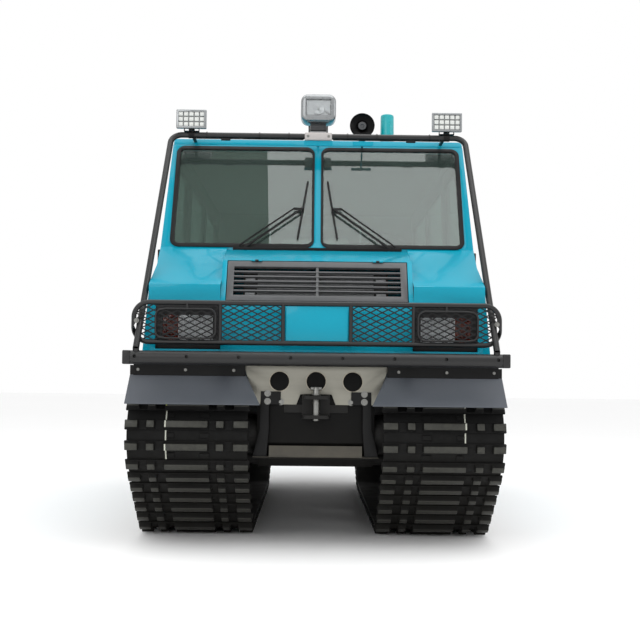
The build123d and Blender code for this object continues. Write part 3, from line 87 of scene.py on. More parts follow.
studio = {
    "sky": "#FFFFFF",
    "skyStrength": 1.0,
    # place, aim, size in metres, watts
    "lamps": {
        "topSoftbox": ((0.0, -2.5, 8.5), (0.0, -2.5, 0.0), 10.0, 430.0),
        "frontSoftbox": ((-3.5, -8.5, 5.0), (0.0, -2.0, 1.2), 4.0, 80.0),
        "sideSoftbox": ((7.5, -3.0, 4.0), (0.0, 0.0, 1.2), 4.0, 60.0),
    },
    # Dark card over the camera: low and high corner. The pane on the vehicle's right mirrors it
    "flag": ((-2.7, -5.2, 6.50), (-0.53, -3.0, 6.52)),
}


def linear(code):
    # sRGB hex colour to linear, as the shaders take it
    channels = [int(code[i:i + 2], 16) / 255 for i in (1, 3, 5)]
    return tuple(c / 12.92 if c <= 0.04045 else ((c + 0.055) / 1.055) ** 2.4 for c in channels) + (1.0,)


def addNode(tree, kind, values=None, links=None, **settings):
    # One shader node with its settings, socket values and incoming links
    node = tree.nodes.new("ShaderNode" + kind)
    for key, value in settings.items():
        setattr(node, key, value)
    for socket, value in (values or {}).items():
        node.inputs[socket].default_value = value
    for socket, source in (links or {}).items():
        tree.links.new(source, node.inputs[socket])
    return node


def addStudio():
    world = bpy.data.worlds.new("paleSky")
    world.use_nodes = True
    bpy.context.scene.world = world
    sky = world.node_tree.nodes["Background"]
    sky.inputs["Color"].default_value = linear(studio["sky"])
    sky.inputs["Strength"].default_value = studio["skyStrength"]
    for name, (place, aim, size, watts) in studio["lamps"].items():
        data = bpy.data.lights.new(name, "AREA")
        data.shape = "DISK"
        data.size = size
        data.energy = watts
        obj = bpy.data.objects.new(name, data)
        bpy.context.scene.collection.objects.link(obj)
        aimLine = Vector(aim) - Vector(place)
        obj.matrix_world = Matrix.Translation(place) @ aimLine.to_track_quat("-Z", "Y").to_matrix().to_4x4()


addCamera()
addStudio()
bpy.context.scene.view_settings.view_transform = "Standard"   # keeps the enamel's strong colour
print("camera and studio")


# Materials: each starts from what the real finish is

def makeFinish(name, light, dark, patch, rough, grain=0.0, depth=0.0, metallic=0.0, stretch=(1, 1, 1),
               dust=None, dustTop=0.0, gloss=0.5, sockets=None):
    # light, dark: hex colours mixed in patches of that size in mm; rough: lowest and highest roughness
    # grain, depth: size and height of the surface's bumps in mm; dust: colour below dustTop metres
    # gloss: strength of the plain mirrored light, which is 0.5 for most paints and plastics
    material = bpy.data.materials.new(name)
    material.use_nodes = True
    tree = material.node_tree
    shader = tree.nodes["Principled BSDF"]
    shader.inputs["Metallic"].default_value = metallic
    shader.inputs["Specular IOR Level"].default_value = gloss
    for socket, value in (sockets or {}).items():
        shader.inputs[socket].default_value = value
    place = addNode(tree, "TexCoord").outputs["Object"]
    place = addNode(tree, "Mapping", {"Scale": stretch}, {"Vector": place}).outputs["Vector"]
    clouds = addNode(tree, "TexNoise", {"Scale": 1000 / patch, "Detail": 4.0, "Roughness": 0.6},
                     {"Vector": place})
    mix = addNode(tree, "Mix", {6: linear(dark), 7: linear(light)},
                  {"Factor": clouds.outputs["Fac"]}, data_type="RGBA")
    colour = mix.outputs[2]
    if dust:
        height = addNode(tree, "SeparateXYZ", links={"Vector": addNode(tree, "TexCoord").outputs["Object"]})
        fade = addNode(tree, "MapRange", {"From Min": 0.0, "From Max": dustTop, "To Min": 0.75, "To Max": 0.0},
                       {"Value": height.outputs["Z"]})
        specks = addNode(tree, "TexNoise", {"Scale": 9.0, "Detail": 8.0, "Roughness": 0.7}, {"Vector": place})
        amount = addNode(tree, "Math", links={0: fade.outputs[0], 1: specks.outputs["Fac"]},
                         operation="MULTIPLY")
        dusty = addNode(tree, "Mix", {7: linear(dust)}, {"Factor": amount.outputs[0], 6: colour},
                        data_type="RGBA")
        colour = dusty.outputs[2]
    tree.links.new(colour, shader.inputs["Base Color"])
    spread = {"From Min": 0.3, "From Max": 0.7, "To Min": rough[0], "To Max": rough[1]}
    sheen = addNode(tree, "MapRange", spread, {"Value": clouds.outputs["Fac"]})
    tree.links.new(sheen.outputs[0], shader.inputs["Roughness"])
    if grain:
        pits = addNode(tree, "TexNoise", {"Scale": 1000 / grain, "Detail": 3.0}, {"Vector": place})
        bump = addNode(tree, "Bump", {"Strength": 1.0, "Distance": depth / 1000},
                       {"Height": pits.outputs["Fac"]})
        tree.links.new(bump.outputs[0], shader.inputs["Normal"])
    return material


def makeGlass(name, tint, rough=0.0, ior=1.5, film=0.0):
    # film: share of the light that dust on the glass scatters
    material = bpy.data.materials.new(name)
    material.use_nodes = True
    shader = material.node_tree.nodes["Principled BSDF"]
    shader.inputs["Base Color"].default_value = linear(tint)
    shader.inputs["Roughness"].default_value = rough
    shader.inputs["IOR"].default_value = ior
    shader.inputs["Transmission Weight"].default_value = 1.0 - film
    return material


finish = {
    # Two-layer car enamel sprayed on sheet steel: strong colour below a glossy clear coat
    "body_blue": makeFinish("cyanEnamel", "#0199B2", "#018CA5", 900, (0.26, 0.38), grain=2.5, depth=0.012,
                            gloss=0.12, sockets={"Coat Weight": 0.3, "Coat Roughness": 0.06}),
    # Powder coat on tube: satin black with a fine orange-peel grain
    "tube_black": makeFinish("blackPowderCoat", "#111112", "#0A0A0B", 120, (0.34, 0.46),
                             grain=1.6, depth=0.05),
    "mesh_black": makeFinish("blackDippedMesh", "#101112", "#080809", 60, (0.4, 0.55), grain=1.2, depth=0.05,
                             gloss=0.35),
    "black_steel": makeFinish("blackSteelPaint", "#0D0D0E", "#060606", 150, (0.42, 0.58),
                              grain=2.0, depth=0.06, gloss=0.22),
    # Hull paint: satin black, dusty towards the ground
    "hull_paint": makeFinish("hullPaint", "#0E0E0E", "#060606", 200, (0.5, 0.65), grain=3.0, depth=0.08,
                             dust="#26241F", dustTop=0.9, gloss=0.12),
    # Rolled steel plate, ground along its width and left bare under clear lacquer
    "plate_steel": makeFinish("groundSteelPlate", "#9E9C92", "#74726A", 90, (0.34, 0.52),
                              grain=0.9, depth=0.05, metallic=0.85, stretch=(0.08, 1, 1)),
    "cast_steel": makeFinish("castSteel", "#262524", "#141413", 70, (0.5, 0.7), grain=3.5, depth=0.25,
                             metallic=0.6),
    "pin_steel": makeFinish("zincPlatedSteel", "#9A9A96", "#6E6E6C", 25, (0.3, 0.45), grain=0.8, depth=0.02,
                            metallic=1.0),
    "engine_iron": makeFinish("castIron", "#3A3C3E", "#26282A", 80, (0.55, 0.7), grain=4.0, depth=0.3),
    # Solid rubber tyres and belt: black, matt, greyed by dust
    "wheel_tyre": makeFinish("solidTyreRubber", "#161616", "#0B0B0B", 90, (0.7, 0.85), grain=3.0, depth=0.12,
                             dust="#3A3731", dustTop=0.7, gloss=0.25),
    # Belt: black rubber made darker still, as painted shade between the bars; the bars' flanks take it too
    "track_rubber": makeFinish("beltRubberAndPaintedShade", "#0D0D0D", "#060606", 110, (0.6, 0.8), grain=4.0, depth=0.2,
                               dust="#26241F", dustTop=0.8, gloss=0.2),
    "flap_rubber": makeFinish("rubberSheet", "#575B62", "#484C52", 260, (0.45, 0.6), grain=3.0, depth=0.05,
                              gloss=0.3),
    "floor_grey": makeFinish("undersealedFloor", "#1A1B1C", "#101011", 150, (0.6, 0.75),
                             grain=4.0, depth=0.15, gloss=0.2),
    # Injection-moulded plastics
    "lamp_black": makeFinish("mouldedBlackPlastic", "#0F0F10", "#080809", 60, (0.35, 0.5),
                             grain=1.2, depth=0.03, gloss=0.3),
    "case_grey": makeFinish("mouldedGreyPlastic", "#4A4B4D", "#3C3D3F", 60, (0.35, 0.5),
                            grain=1.0, depth=0.03),
    "case_white": makeFinish("mouldedWhitePlastic", "#B9B4B2", "#A8A3A1", 60, (0.35, 0.45),
                             grain=1.0, depth=0.02),
    "dash_plastic": makeFinish("grainedDashPlastic", "#1B1C1E", "#121314", 60, (0.55, 0.7),
                               grain=2.2, depth=0.15),
    "seal_rubber": makeFinish("sealRubber", "#0E0E0F", "#070708", 90, (0.5, 0.65), grain=1.5, depth=0.03,
                              gloss=0.3),
    "horn_black": makeFinish("hornEnamel", "#070708", "#030303", 40, (0.3, 0.45), grain=1.5, depth=0.02,
                             gloss=0.12),
    # Bright parts: chromed steel and vapour-plated reflectors
    "lamp_silver": makeFinish("chromedSteel", "#9C9E9F", "#85888A", 50, (0.22, 0.36), metallic=0.9),
    "reflector": makeFinish("platedReflector", "#EEF0F0", "#D8DADB", 30, (0.28, 0.4), metallic=0.35),
    # Woven cloth with a short nap
    "seat_cloth": makeFinish("wovenSeatCloth", "#2A2C2F", "#1B1D1F", 40, (0.8, 0.95), grain=3.0, depth=0.5,
                             sockets={"Sheen Weight": 0.2}),
    # Toughened glass with a grey-green tint and a mirroring, dusty film, so the index is high; moulded lenses
    "window_glass": makeGlass("filmedGlass", "#98AEA6", ior=1.66, film=0.09),
    "rear_glass": makeGlass("darkFilmedGlass", "#56635D", ior=1.6),
    "lens_clear": makeGlass("clearLens", "#F2F4F5", rough=0.03, ior=1.58),
    "lens_amber": makeGlass("amberLens", "#A84A20", rough=0.08, ior=1.5),
    "lens_red": makeFinish("redLensAcrylic", "#8E1218", "#7A0E13", 30, (0.15, 0.25),
                           sockets={"Coat Weight": 0.5, "Transmission Weight": 0.15}),
    "beacon_teal": makeFinish("tealDome", "#07A4AA", "#05969C", 40, (0.25, 0.35),
                              sockets={"Coat Weight": 0.15}),
    # Forged bars, ground bare by stones
    "grouser_steel": makeFinish("wornBarSteel", "#46463F", "#0B0B0A", 26, (0.3, 0.6), grain=3.0,
                                depth=0.2, metallic=0.3, dust="#2E2B26", dustTop=0.5),
    # Studio: plain paper floor, and cloth on the card
    "floor": makeFinish("paleFloor", "#FAFAFA", "#F7F7F7", 4000, (0.8, 0.9)),
    "flag": makeFinish("greenFlagCloth", "#B4C8BA", "#7E9084", 1400, (0.9, 1.0)),
    # Carpet and board that line the cabin
    "cabin_lining": makeFinish("feltLining", "#26282A", "#1B1D1F", 30, (0.85, 0.95), grain=2.5, depth=0.2),
    # Paint lines brushed on the track by whoever set its joint
    "paint_white": makeFinish("brushedWhitePaint", "#C9CBC0", "#A9AB9C", 8, (0.5, 0.7)),
    "paint_lime": makeFinish("brushedLimePaint", "#B4C04A", "#8F9A33", 8, (0.5, 0.7)),
    # Optic of an unlit lamp cell: pale, with a soft gloss
    "led": makeFinish("cellOptic", "#DEDFDB", "#C4C6C3", 12, (0.25, 0.4)),
    "cell_grid": makeFinish("cellGrid", "#7B7D7D", "#6A6C6C", 20, (0.35, 0.5)),
    # Edges filed bare; dust and a painted highlight on the hull's toe; radiator fins brightened as painted
    # light in their shade; painted highlight on the grille's slats
    "bare_edge": makeFinish("filedSteelEdge", "#A8A294", "#8B8578", 20, (0.35, 0.5), metallic=0.5),
    # Hull's toe: dust, and a painted highlight on its upward faces where the top light falls
    "toe_dust_and_highlight": makeFinish("dustyPlateWithPaintedHighlight", "#5A564C", "#2A2824", 120, (0.7, 0.85), grain=4.0, depth=0.1),
    # Radiator fins: brighter than bare alloy, as painted light for the shade behind the grille
    "fin_alloy_painted_bright": makeFinish("radiatorFinsPaintedBright", "#A4A6A7", "#7C7E80", 40, (0.45, 0.6), metallic=0.3),
    # Grille slats: a lighter grey on their front faces only, a painted highlight for the light that falls on
    # them
    "slat_painted_highlight": makeFinish("slatPaintedHighlight", "#57585A", "#434446", 60, (0.35, 0.5), grain=1.5, depth=0.04),
}
print("materials:", len(finish))


# Mesh helpers

def placed(bm, verts, matrix):
    bmesh.ops.transform(bm, matrix=matrix, verts=verts)
    return verts


def inked(verts, index):
    # Gives the faces of new points their material's number
    for face in {face for vert in verts for face in vert.link_faces}:
        face.material_index = index
    return verts


def bevelled(bm, edges, offset, steps):
    # Rounds edges and gives the new faces
    return bmesh.ops.bevel(bm, geom=edges, offset=offset, offset_type="OFFSET", segments=steps, profile=0.5,
                           affect="EDGES", material=-1, clamp_overlap=True)["faces"]


def axisTurn(direction):
    # Turns the Z axis to a direction
    return Vector(direction).to_track_quat("Z", "Y").to_matrix().to_4x4()


def addBox(bm, low, high, round=0.0, steps=2, index=0):
    low, high = Vector(low), Vector(high)
    size = high - low
    matrix = Matrix.Translation((low + high) / 2) @ Matrix.Diagonal((*size, 1.0))
    verts = bmesh.ops.create_cube(bm, size=1.0, matrix=matrix)["verts"]
    if round:
        edges = list({edge for vert in verts for edge in vert.link_edges})
        made = bevelled(bm, edges, round, steps)
        verts = list({vert for face in made for vert in face.verts}
                     | {vert for vert in verts if vert.is_valid})
    return inked(verts, index)


def addRod(bm, start, end, radius, tip=None, segments=24, index=0):
    # Round bar or cone from one point to another
    start, end = Vector(start), Vector(end)
    axis = end - start
    matrix = Matrix.Translation((start + end) / 2) @ axisTurn(axis)
    verts = bmesh.ops.create_cone(bm, cap_ends=True, cap_tris=False, segments=segments, radius1=radius,
                                  radius2=radius if tip is None else tip, depth=axis.length,
                                  matrix=matrix)["verts"]
    return inked(verts, index)


def addBolt(bm, place, direction, size, index=0):
    # Hexagon head on a washer, standing along the direction; size is across the flats
    place, direction = Vector(place), Vector(direction).normalized()
    addRod(bm, place, place + direction * size * 0.12, size * 0.85, segments=16, index=index)
    addRod(bm, place + direction * size * 0.12, place + direction * size * 0.6, size * 0.577,
           tip=size * 0.52, segments=6, index=index)


def addTurned(bm, section, centre, direction, steps=48, index=0):
    # Spins a section of (out along the axis, radius) points a full turn about the axis
    points = [bm.verts.new((0.0, radius, along)) for along, radius in section]
    edges = [bm.edges.new(pair) for pair in zip(points, points[1:])]
    before = set(bm.verts)
    bmesh.ops.spin(bm, geom=points + edges, cent=(0, 0, 0), axis=(0, 0, 1), angle=2 * pi, steps=steps,
                   use_merge=True, use_duplicate=False)
    verts = points + [vert for vert in bm.verts if vert not in before]
    bmesh.ops.remove_doubles(bm, verts=verts, dist=1e-6)
    verts = [vert for vert in verts if vert.is_valid]
    faces = list({face for vert in verts for face in vert.link_faces})
    bmesh.ops.recalc_face_normals(bm, faces=faces)
    placed(bm, verts, Matrix.Translation(centre) @ axisTurn(direction))
    return inked(verts, index)


def addCopies(bm, source, matrices):
    # Puts a copy of another bmesh at each matrix
    mesh = bpy.data.meshes.new("stamp")
    source.to_mesh(mesh)
    for matrix in matrices:
        count = len(bm.verts)
        bm.from_mesh(mesh)
        bm.verts.ensure_lookup_table()
        bmesh.ops.transform(bm, matrix=matrix, verts=bm.verts[count:])
    bpy.data.meshes.remove(mesh)


def mirrored(bm):
    # Adds the mirror image on the vehicle's other side
    bmesh.ops.mirror(bm, geom=bm.verts[:] + bm.edges[:] + bm.faces[:], axis="X", merge_dist=-1.0)
    bmesh.ops.recalc_face_normals(bm, faces=bm.faces[:])


def flipped(bm):
    # Turns a piece of the left side into the right side's
    bmesh.ops.scale(bm, vec=(-1, 1, 1), verts=bm.verts)
    bmesh.ops.reverse_faces(bm, faces=bm.faces)
    return bm


def looseObject(name, bm):
    mesh = bpy.data.meshes.new(name)
    bm.to_mesh(mesh)
    bm.free()
    obj = bpy.data.objects.new(name, mesh)
    bpy.context.scene.collection.objects.link(obj)
    return obj


def addStage(name, bm, material):
    obj = looseObject(name, bm)
    obj.data.materials.append(finish[material])
    return obj


def addFloor():
    bm = bmesh.new()
    bmesh.ops.create_grid(bm, x_segments=1, y_segments=1, size=40)
    addStage("studioFloor", bm, "floor")
    card = bmesh.new()
    addBox(card, *studio["flag"])
    addStage("studioFlag", card, "flag").visible_camera = False


addFloor()


def addPiece(name, bm, materials, body="chassis", replaced=(), angle=32):
    # Finished object from a bmesh, smooth up to an angle between faces
    for face in bm.faces:
        face.smooth = True
    for edge in bm.edges:
        edge.smooth = edge.is_manifold and edge.calc_face_angle(0.0) < radians(angle)
    obj = looseObject(name, bm)
    for material in materials:
        obj.data.materials.append(finish[material])
    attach(obj, body)
    if replaced:
        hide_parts(*replaced)
    return obj


def acrossBox(bm, side, low, high, round=0.0, steps=2, index=0):
    # Box with its X limits given for the left side and laid on the side asked for
    x0, x1 = sorted((side * low[0], side * high[0]))
    addBox(bm, (x0, *low[1:]), (x1, *high[1:]), round, steps, index)


def cleaned(node):
    # A CAD node's mesh with its flat faces made whole
    bm = bmesh.new()
    bm.from_mesh(cad[node].data)
    bmesh.ops.remove_doubles(bm, verts=bm.verts, dist=2e-5)
    bmesh.ops.dissolve_limit(bm, angle_limit=radians(0.8), verts=bm.verts, edges=bm.edges)
    return bm


def softCopy(node, edge=0.0, steps=2, angle=32, shape=None):
    # Copy of a CAD node with its sharp edges rounded, which then stands for it
    bm = cleaned(node)
    if shape:
        shape(bm)
    if edge:
        sharp = [e for e in bm.edges if e.is_manifold and e.calc_face_angle(0.0) > radians(angle)]
        bevelled(bm, sharp, edge, steps)
    slot = slotOf[node]
    others = otherFinishes.get(node, [])
    for face in bm.faces:
        face.material_index = 0
        for i, (_, takes) in enumerate(others, 1):
            if takes(face.calc_center_median(), face.normal):
                face.material_index = i
    return addPiece(node + "Finished", bm, [slot] + [name for name, _ in others], bodyOf[node],
                    (node,), angle)


cabinMiddle = Vector((0.0, 0.3, 1.9))
waist = 1.890     # foot of the leaning screen and side windows
plateY = -2.130   # front of the hull's plate and of the nose
doorHinge = {"x": 1.050, "y": -1.4725, "reach": 0.0145}
# Outside of the sides at the waist and at the roof, its rise between them, sheet, and the rear wall's front
skin = {"waist": 1.035, "roof": 1.005, "rise": 0.8, "sheet": 0.012, "rear": 2.190}
# Grille hatch: foot and direction of its slope, and the slats' field across it and along it
grille = {"foot": Vector((0.0, plateY, 1.505)), "slope": Vector((0.0, 0.150, 0.265)).normalized(),
          "halfWide": 0.518, "low": 0.042, "high": 0.262}


def insideAlong(axis):
    # Tells the faces that look into the cabin along an axis
    return lambda place, normal: (abs(normal[axis]) > 0.8
                                  and normal[axis] * (cabinMiddle[axis] - place[axis]) > 0)


def behindSkin(place, normal):
    # The inside of a side panel, and the edges of its openings
    lean = max(0.0, (place.z - waist) / skin["rise"]) * (skin["waist"] - skin["roof"])
    return abs(place.x) < skin["waist"] - lean - skin["sheet"] and place.y < skin["rear"]


def nearHinge(place, normal):
    return hypot(abs(place.x) - doorHinge["x"], place.y - doorHinge["y"]) < doorHinge["reach"]


# Front faces of the grille's slats, which take the painted highlight
def slatHighlightFaces(place, normal):
    along = (place - grille["foot"]).dot(grille["slope"])
    return abs(place.x) < grille["halfWide"] and normal.y < -0.2 and grille["low"] < along < grille["high"]


sideFinishes = [("cabin_lining", behindSkin), ("black_steel", nearHinge)]
# Nodes with more finishes, and the faces that take each
otherFinishes = {
    "side_walls": sideFinishes, "door_left": sideFinishes, "door_right": sideFinishes,
    "roof": [("cabin_lining", insideAlong(2))],
    "rear_wall": [("cabin_lining", insideAlong(1))],
    "rear_door": [("cabin_lining", insideAlong(1))],
    "cab_front": [("cabin_lining", insideAlong(1))],
    "nose_shell": [("black_steel", lambda place, normal: normal.y > 0.5 or normal.z < -0.5
                    or (abs(normal.x) > 0.8 and normal.x * place.x < 0))],
    # Painted highlight on the front faces of the grille's slats
    "grille_hatch": [("slat_painted_highlight", slatHighlightFaces)],
    # The front flaps' bracket, and the slope of the hull's toe, which takes dust and a painted highlight on its
    # upward faces
    "mud_flaps": [("black_steel", lambda place, normal: place.y < 0 and place.z > 1.042)],
    "hull_tub": [("toe_dust_and_highlight", lambda place, normal: normal.z > 0.3 and place.y < -1.8 and place.z < 0.75)],
}


def flareNose(bm):
    # The nose's sides stand out towards its lower front corners
    foot, head, front, back, out = 1.16, 1.56, plateY, -1.630, 0.036
    normal = Vector((0, 1 / (back - front), 1 / (head - foot))).normalized()
    geom = bm.verts[:] + bm.edges[:] + bm.faces[:]
    bmesh.ops.bisect_plane(bm, geom=geom, dist=1e-6, plane_co=(0, back, foot), plane_no=normal)
    for vert in bm.verts:
        share = 1 - (vert.co.y - front) / (back - front) - (vert.co.z - foot) / (head - foot)
        if abs(vert.co.x) > 1.0 and share > 0:
            vert.co.x += out * share * (1 if vert.co.x > 0 else -1)


def widenGuard(bm):
    # The guard's ends, beyond its last upright, stand further out
    upright, out = 0.93, 0.018
    for vert in bm.verts:
        if abs(vert.co.x) > upright:
            vert.co.x += out if vert.co.x > 0 else -out


def slimSeals(bm):
    # Beside the middle post the rubber shows only as a thin line, so its points move towards the post
    lean, low, high, inner, outer = radians(25), 0.025, 0.794, 0.0515, 0.082
    stretch = 0.043 / 0.030
    for vert in bm.verts:
        along = (vert.co.z - waist) / cos(lean)
        if low < along < high and inner < abs(vert.co.x) < outer:
            x = outer - (outer - abs(vert.co.x)) * stretch
            vert.co.x = x if vert.co.x > 0 else -x


shapes = {"nose_shell": flareNose, "screen_seals": slimSeals, "brush_guard": widenGuard}


# Body panels: folded sheet, so every edge has a small radius. Node and radius in metres
softEdges = {
    "nose_shell": 0.006, "cab_front": 0.004, "side_walls": 0.004, "roof": 0.006, "rear_wall": 0.004,
    "door_left": 0.005, "door_right": 0.005, "rear_door": 0.005, "lamp_panels": 0.003,
    "grille_hatch": 0.0012, "front_plate": 0.0015, "front_brackets": 0.002, "tow_clevis": 0.003,
    "hull_tub": 0.003, "suspension": 0.003, "seat_frames": 0.005, "dashboard": 0.012, "cowl": 0.001,
    "mud_flaps": 0.001, "body_floor": 0.002, "engine_block": 0.01, "sprockets": 0.003,
    "guard_panel": 0.001, "screen_seals": 0.003, "searchlight_base": 0.006, "rear_fittings": 0.002,
    "rear_lamps": 0.005,
}
for node, edge in softEdges.items():
    softCopy(node, edge, shape=shapes.get(node))
for node in ("brush_guard", "roll_frame", "steering_column", "steering_wheel"):
    softCopy(node, shape=shapes.get(node))
print("body panels")


# Tracks: a rubber belt with forged bars bolted across it

belt = {
    # Wheels inside the belt: y, z and radius
    "wheels": [(-1.980, 0.680, 0.2363), (-1.460, 0.3263, 0.2623), (1.240, 0.3263, 0.2623),
               (1.745, 0.450, 0.2153)],
    "middle": 0.775, "width": 0.750, "thick": 0.022, "pitch": 0.123, "bandInset": 0.012,
    "barHeight": 0.042, "barFoot": 0.060, "barTip": 0.040, "barBase": 0.012, "tipRound": 0.004, "draft": 0.007,
    # Blocks of one bar, as shares of the width from the outer edge
    "blocks": [(0.0, 0.116), (0.171, 0.249), (0.31, 0.677), (0.727, 0.805), (0.866, 1.0)],
    "pads": [(0.34, 0.40), (0.60, 0.68)],
    "toothHigh": 0.045, "toothWide": 0.040, "toothLong": 0.050,
    # Brushed line: share of the width and half width, at the front, and the heights that it runs between,
    # its foot on the left and the right track; on the right one it is lime at the top
    "line": (0.330, 0.004), "lineFront": -1.9, "lineHigh": 1.06, "lineLow": (0.66, 0.56), "limeAbove": 0.84,
}


def beltRuns(grow):
    # Straight runs outside the wheels: start, end and the angle of the outward normal
    runs = []
    wheels = belt["wheels"]
    for (ya, za, ra), (yb, zb, rb) in zip(wheels, wheels[1:] + wheels[:1]):
        length = hypot(yb - ya, zb - za)
        normal = atan2(zb - za, yb - ya) - acos((ra - rb) / length)
        runs.append([(y + (r + grow) * cos(normal), z + (r + grow) * sin(normal))
                     for y, z, r in ((ya, za, ra), (yb, zb, rb))] + [normal])
    return runs


def beltPlaces(grow):
    # Evenly spaced places round the belt: y, z and the angle of the normal
    runs = beltRuns(grow)
    pieces = []
    for i, (start, end, normal) in enumerate(runs):
        after = (i + 1) % len(runs)
        turn = (runs[after][2] - normal) % (2 * pi)
        y, z, radius = belt["wheels"][after]
        pieces.append((hypot(end[0] - start[0], end[1] - start[1]), start, normal, None, 0.0))
        pieces.append(((radius + grow) * turn, (y, z), normal, radius + grow, turn))
    total = sum(piece[0] for piece in pieces)
    count = 2 * round(total / belt["pitch"])
    places = []
    for k in range(count):
        left = total * (k + 1) / count
        for length, point, normal, reach, turn in pieces:
            if left <= length:
                break
            left -= length
        if reach is None:
            y = point[0] - left * sin(normal)
            z = point[1] + left * cos(normal)
            places.append((y, z, normal))
        else:
            angle = normal + turn * left / length
            places.append((point[0] + reach * cos(angle), point[1] + reach * sin(angle), angle))
    return places[0::2], places[1::2]   # at the bars, and midway between them


def beltBand(bm):
    # An edge across the belt, drawn along each run and spun round each wheel
    runs = beltRuns(0.0)
    (y, z), _, _ = runs[0]
    half = belt["width"] / 2 - belt["bandInset"]
    ends = [bm.verts.new((belt["middle"] + side * half, y, z)) for side in (-1, 1)]
    last = [*ends, bm.edges.new(ends)]
    for i, (start, end, normal) in enumerate(runs):
        edge = [item for item in last if isinstance(item, bmesh.types.BMEdge)]
        made = bmesh.ops.extrude_edge_only(bm, edges=edge)["geom"]
        moved = [item for item in made if isinstance(item, bmesh.types.BMVert)]
        bmesh.ops.translate(bm, verts=moved, vec=(0, end[0] - start[0], end[1] - start[1]))
        last = moved + [item for item in made if isinstance(item, bmesh.types.BMEdge)
                        and set(item.verts) == set(moved)]
        after = (i + 1) % len(runs)
        turn = (runs[after][2] - normal) % (2 * pi)
        wheel = belt["wheels"][after]
        last = bmesh.ops.spin(bm, geom=last, cent=(0, wheel[0], wheel[1]), axis=(1, 0, 0), angle=turn,
                              steps=max(4, round(turn / radians(6))), use_duplicate=False)["geom_last"]
    bmesh.ops.remove_doubles(bm, verts=bm.verts, dist=1e-4)
    bmesh.ops.recalc_face_normals(bm, faces=bm.faces)
    faces = bm.faces[:]
    highest = max(faces, key=lambda face: face.calc_center_median().z)
    if highest.normal.z < 0:
        bmesh.ops.reverse_faces(bm, faces=faces)
    bmesh.ops.solidify(bm, geom=faces, thickness=-belt["thick"])


def barStamp():
    # One bar lying on the belt: X across, Y along the belt, Z outwards
    bm = bmesh.new()
    half = belt["width"] / 2
    foot, tip, high = belt["barFoot"] / 2, belt["barTip"] / 2, belt["barHeight"]
    addBox(bm, (-half, -foot, -0.001), (half, foot, belt["barBase"]), 0.003, 1)
    for a, b in belt["blocks"]:
        x0, x1 = half - belt["width"] * b, half - belt["width"] * a
        verts = addBox(bm, (x0, -foot, 0.0), (x1, foot, high))
        top = [vert for vert in verts if vert.co.z > high / 2]
        for vert in top:
            vert.co.y *= tip / foot
            vert.co.x += belt["draft"] if vert.co.x < (x0 + x1) / 2 else -belt["draft"]
        edges = list({edge for vert in top for edge in vert.link_edges})
        bevelled(bm, edges, belt["tipRound"], 2)
    # Only the tips are worn bare; the flanks take the belt's near-black, standing for their black paint and for
    # painted shade between the bars
    for face in bm.faces:
        face.material_index = 1 if face.normal.z > 0.4 and face.calc_center_median().z > high * 0.8 else 0
    return bm


def lineStamp(index, low, high, reach):
    # Stroke of the brushed line across one bar's tip, or on the belt
    bm = bmesh.new()
    share, wide = belt["line"]
    x = belt["width"] / 2 - belt["width"] * share
    addBox(bm, (x - wide, -reach, low), (x + wide, reach, high), index=index)
    return bm


def padStamp():
    # Square rubber pads between two bars, and the guide tooth inside the belt
    bm = bmesh.new()
    half = belt["width"] / 2
    for a, b in belt["pads"]:
        addBox(bm, (half - belt["width"] * b, -0.016, -0.001), (half - belt["width"] * a, 0.016, 0.007),
               0.003, 1)
    wide, long = belt["toothWide"] / 2, belt["toothLong"] / 2
    inside = -belt["thick"]
    verts = addBox(bm, (-wide, -long, inside - belt["toothHigh"]), (wide, long, inside + 0.002))
    for vert in verts:
        if vert.co.z < inside - 0.01:
            vert.co.x *= 0.55
            vert.co.y *= 0.6
    return bm


def addTracks():
    bars, between = beltPlaces(belt["thick"])

    def matrices(places):
        return [Matrix.Translation((belt["middle"], y, z)) @ Matrix.Rotation(normal - pi / 2, 4, "X")
                for y, z, normal in places]

    for name, side in (("trackLeft", 1), ("trackRight", -1)):
        bm = bmesh.new()
        beltBand(bm)
        for face in bm.faces:
            face.material_index = 0
        for stamp, places in ((barStamp(), bars), (padStamp(), between)):
            addCopies(bm, stamp, matrices(places))
            stamp.free()
        high, tip = belt["barHeight"], belt["barTip"] / 2
        strokes = ((bars, high - 0.002, high + 0.0008, tip), (between, -0.001, 0.001, 0.030))
        for places, low, top, reach in strokes:
            for lime in (False, True):
                lined = [(y, z, normal) for y, z, normal in places
                         if y < belt["lineFront"] and belt["lineLow"][side < 0] < z < belt["lineHigh"]
                         and (side < 0 and z > belt["limeAbove"]) == lime]
                stamp = lineStamp(3 if lime else 2, low, top, reach)
                addCopies(bm, stamp, matrices(lined))
                stamp.free()
        if side < 0:
            flipped(bm)
        addPiece(name, bm, ["track_rubber", "grouser_steel", "paint_white", "paint_lime"],
                 replaced=("track_left" if side > 0 else "track_right",))


addTracks()
print("tracks")


# Road wheels and idlers: rubber tyres on pressed discs

wheel = {
    "middle": 0.775,
    "places": [(-1.460 + 0.675 * i, 0.3263) for i in range(5)],
    "idler": (1.745, 0.450),
    # Half section from the hub cap to the groove: out from the middle, radius. From the disc's 9th point
    # on it is mirrored, and the back of the hub closes it
    "section": [(0.142, 0.0), (0.142, 0.032), (0.137, 0.042), (0.121, 0.044), (0.120, 0.058), (0.116, 0.062),
                (0.064, 0.066), (0.060, 0.078), (0.066, 0.115), (0.061, 0.150), (0.061, 0.196), (0.066, 0.206),
                (0.108, 0.211), (0.119, 0.214), (0.120, 0.222), (0.118, 0.246), (0.111, 0.258),
                (0.100, 0.262), (0.042, 0.262), (0.035, 0.259), (0.032, 0.250), (0.032, 0.207)],
    "back": [(-0.064, 0.066), (-0.116, 0.062), (-0.12, 0.03), (-0.12, 0.0)],
    "mirrorFrom": 8, "tyreFrom": 0.219, "idlerShrink": 0.047,
    "bolts": 8, "boltRing": 0.093, "boltSize": 0.017, "boltOut": 0.062,
}


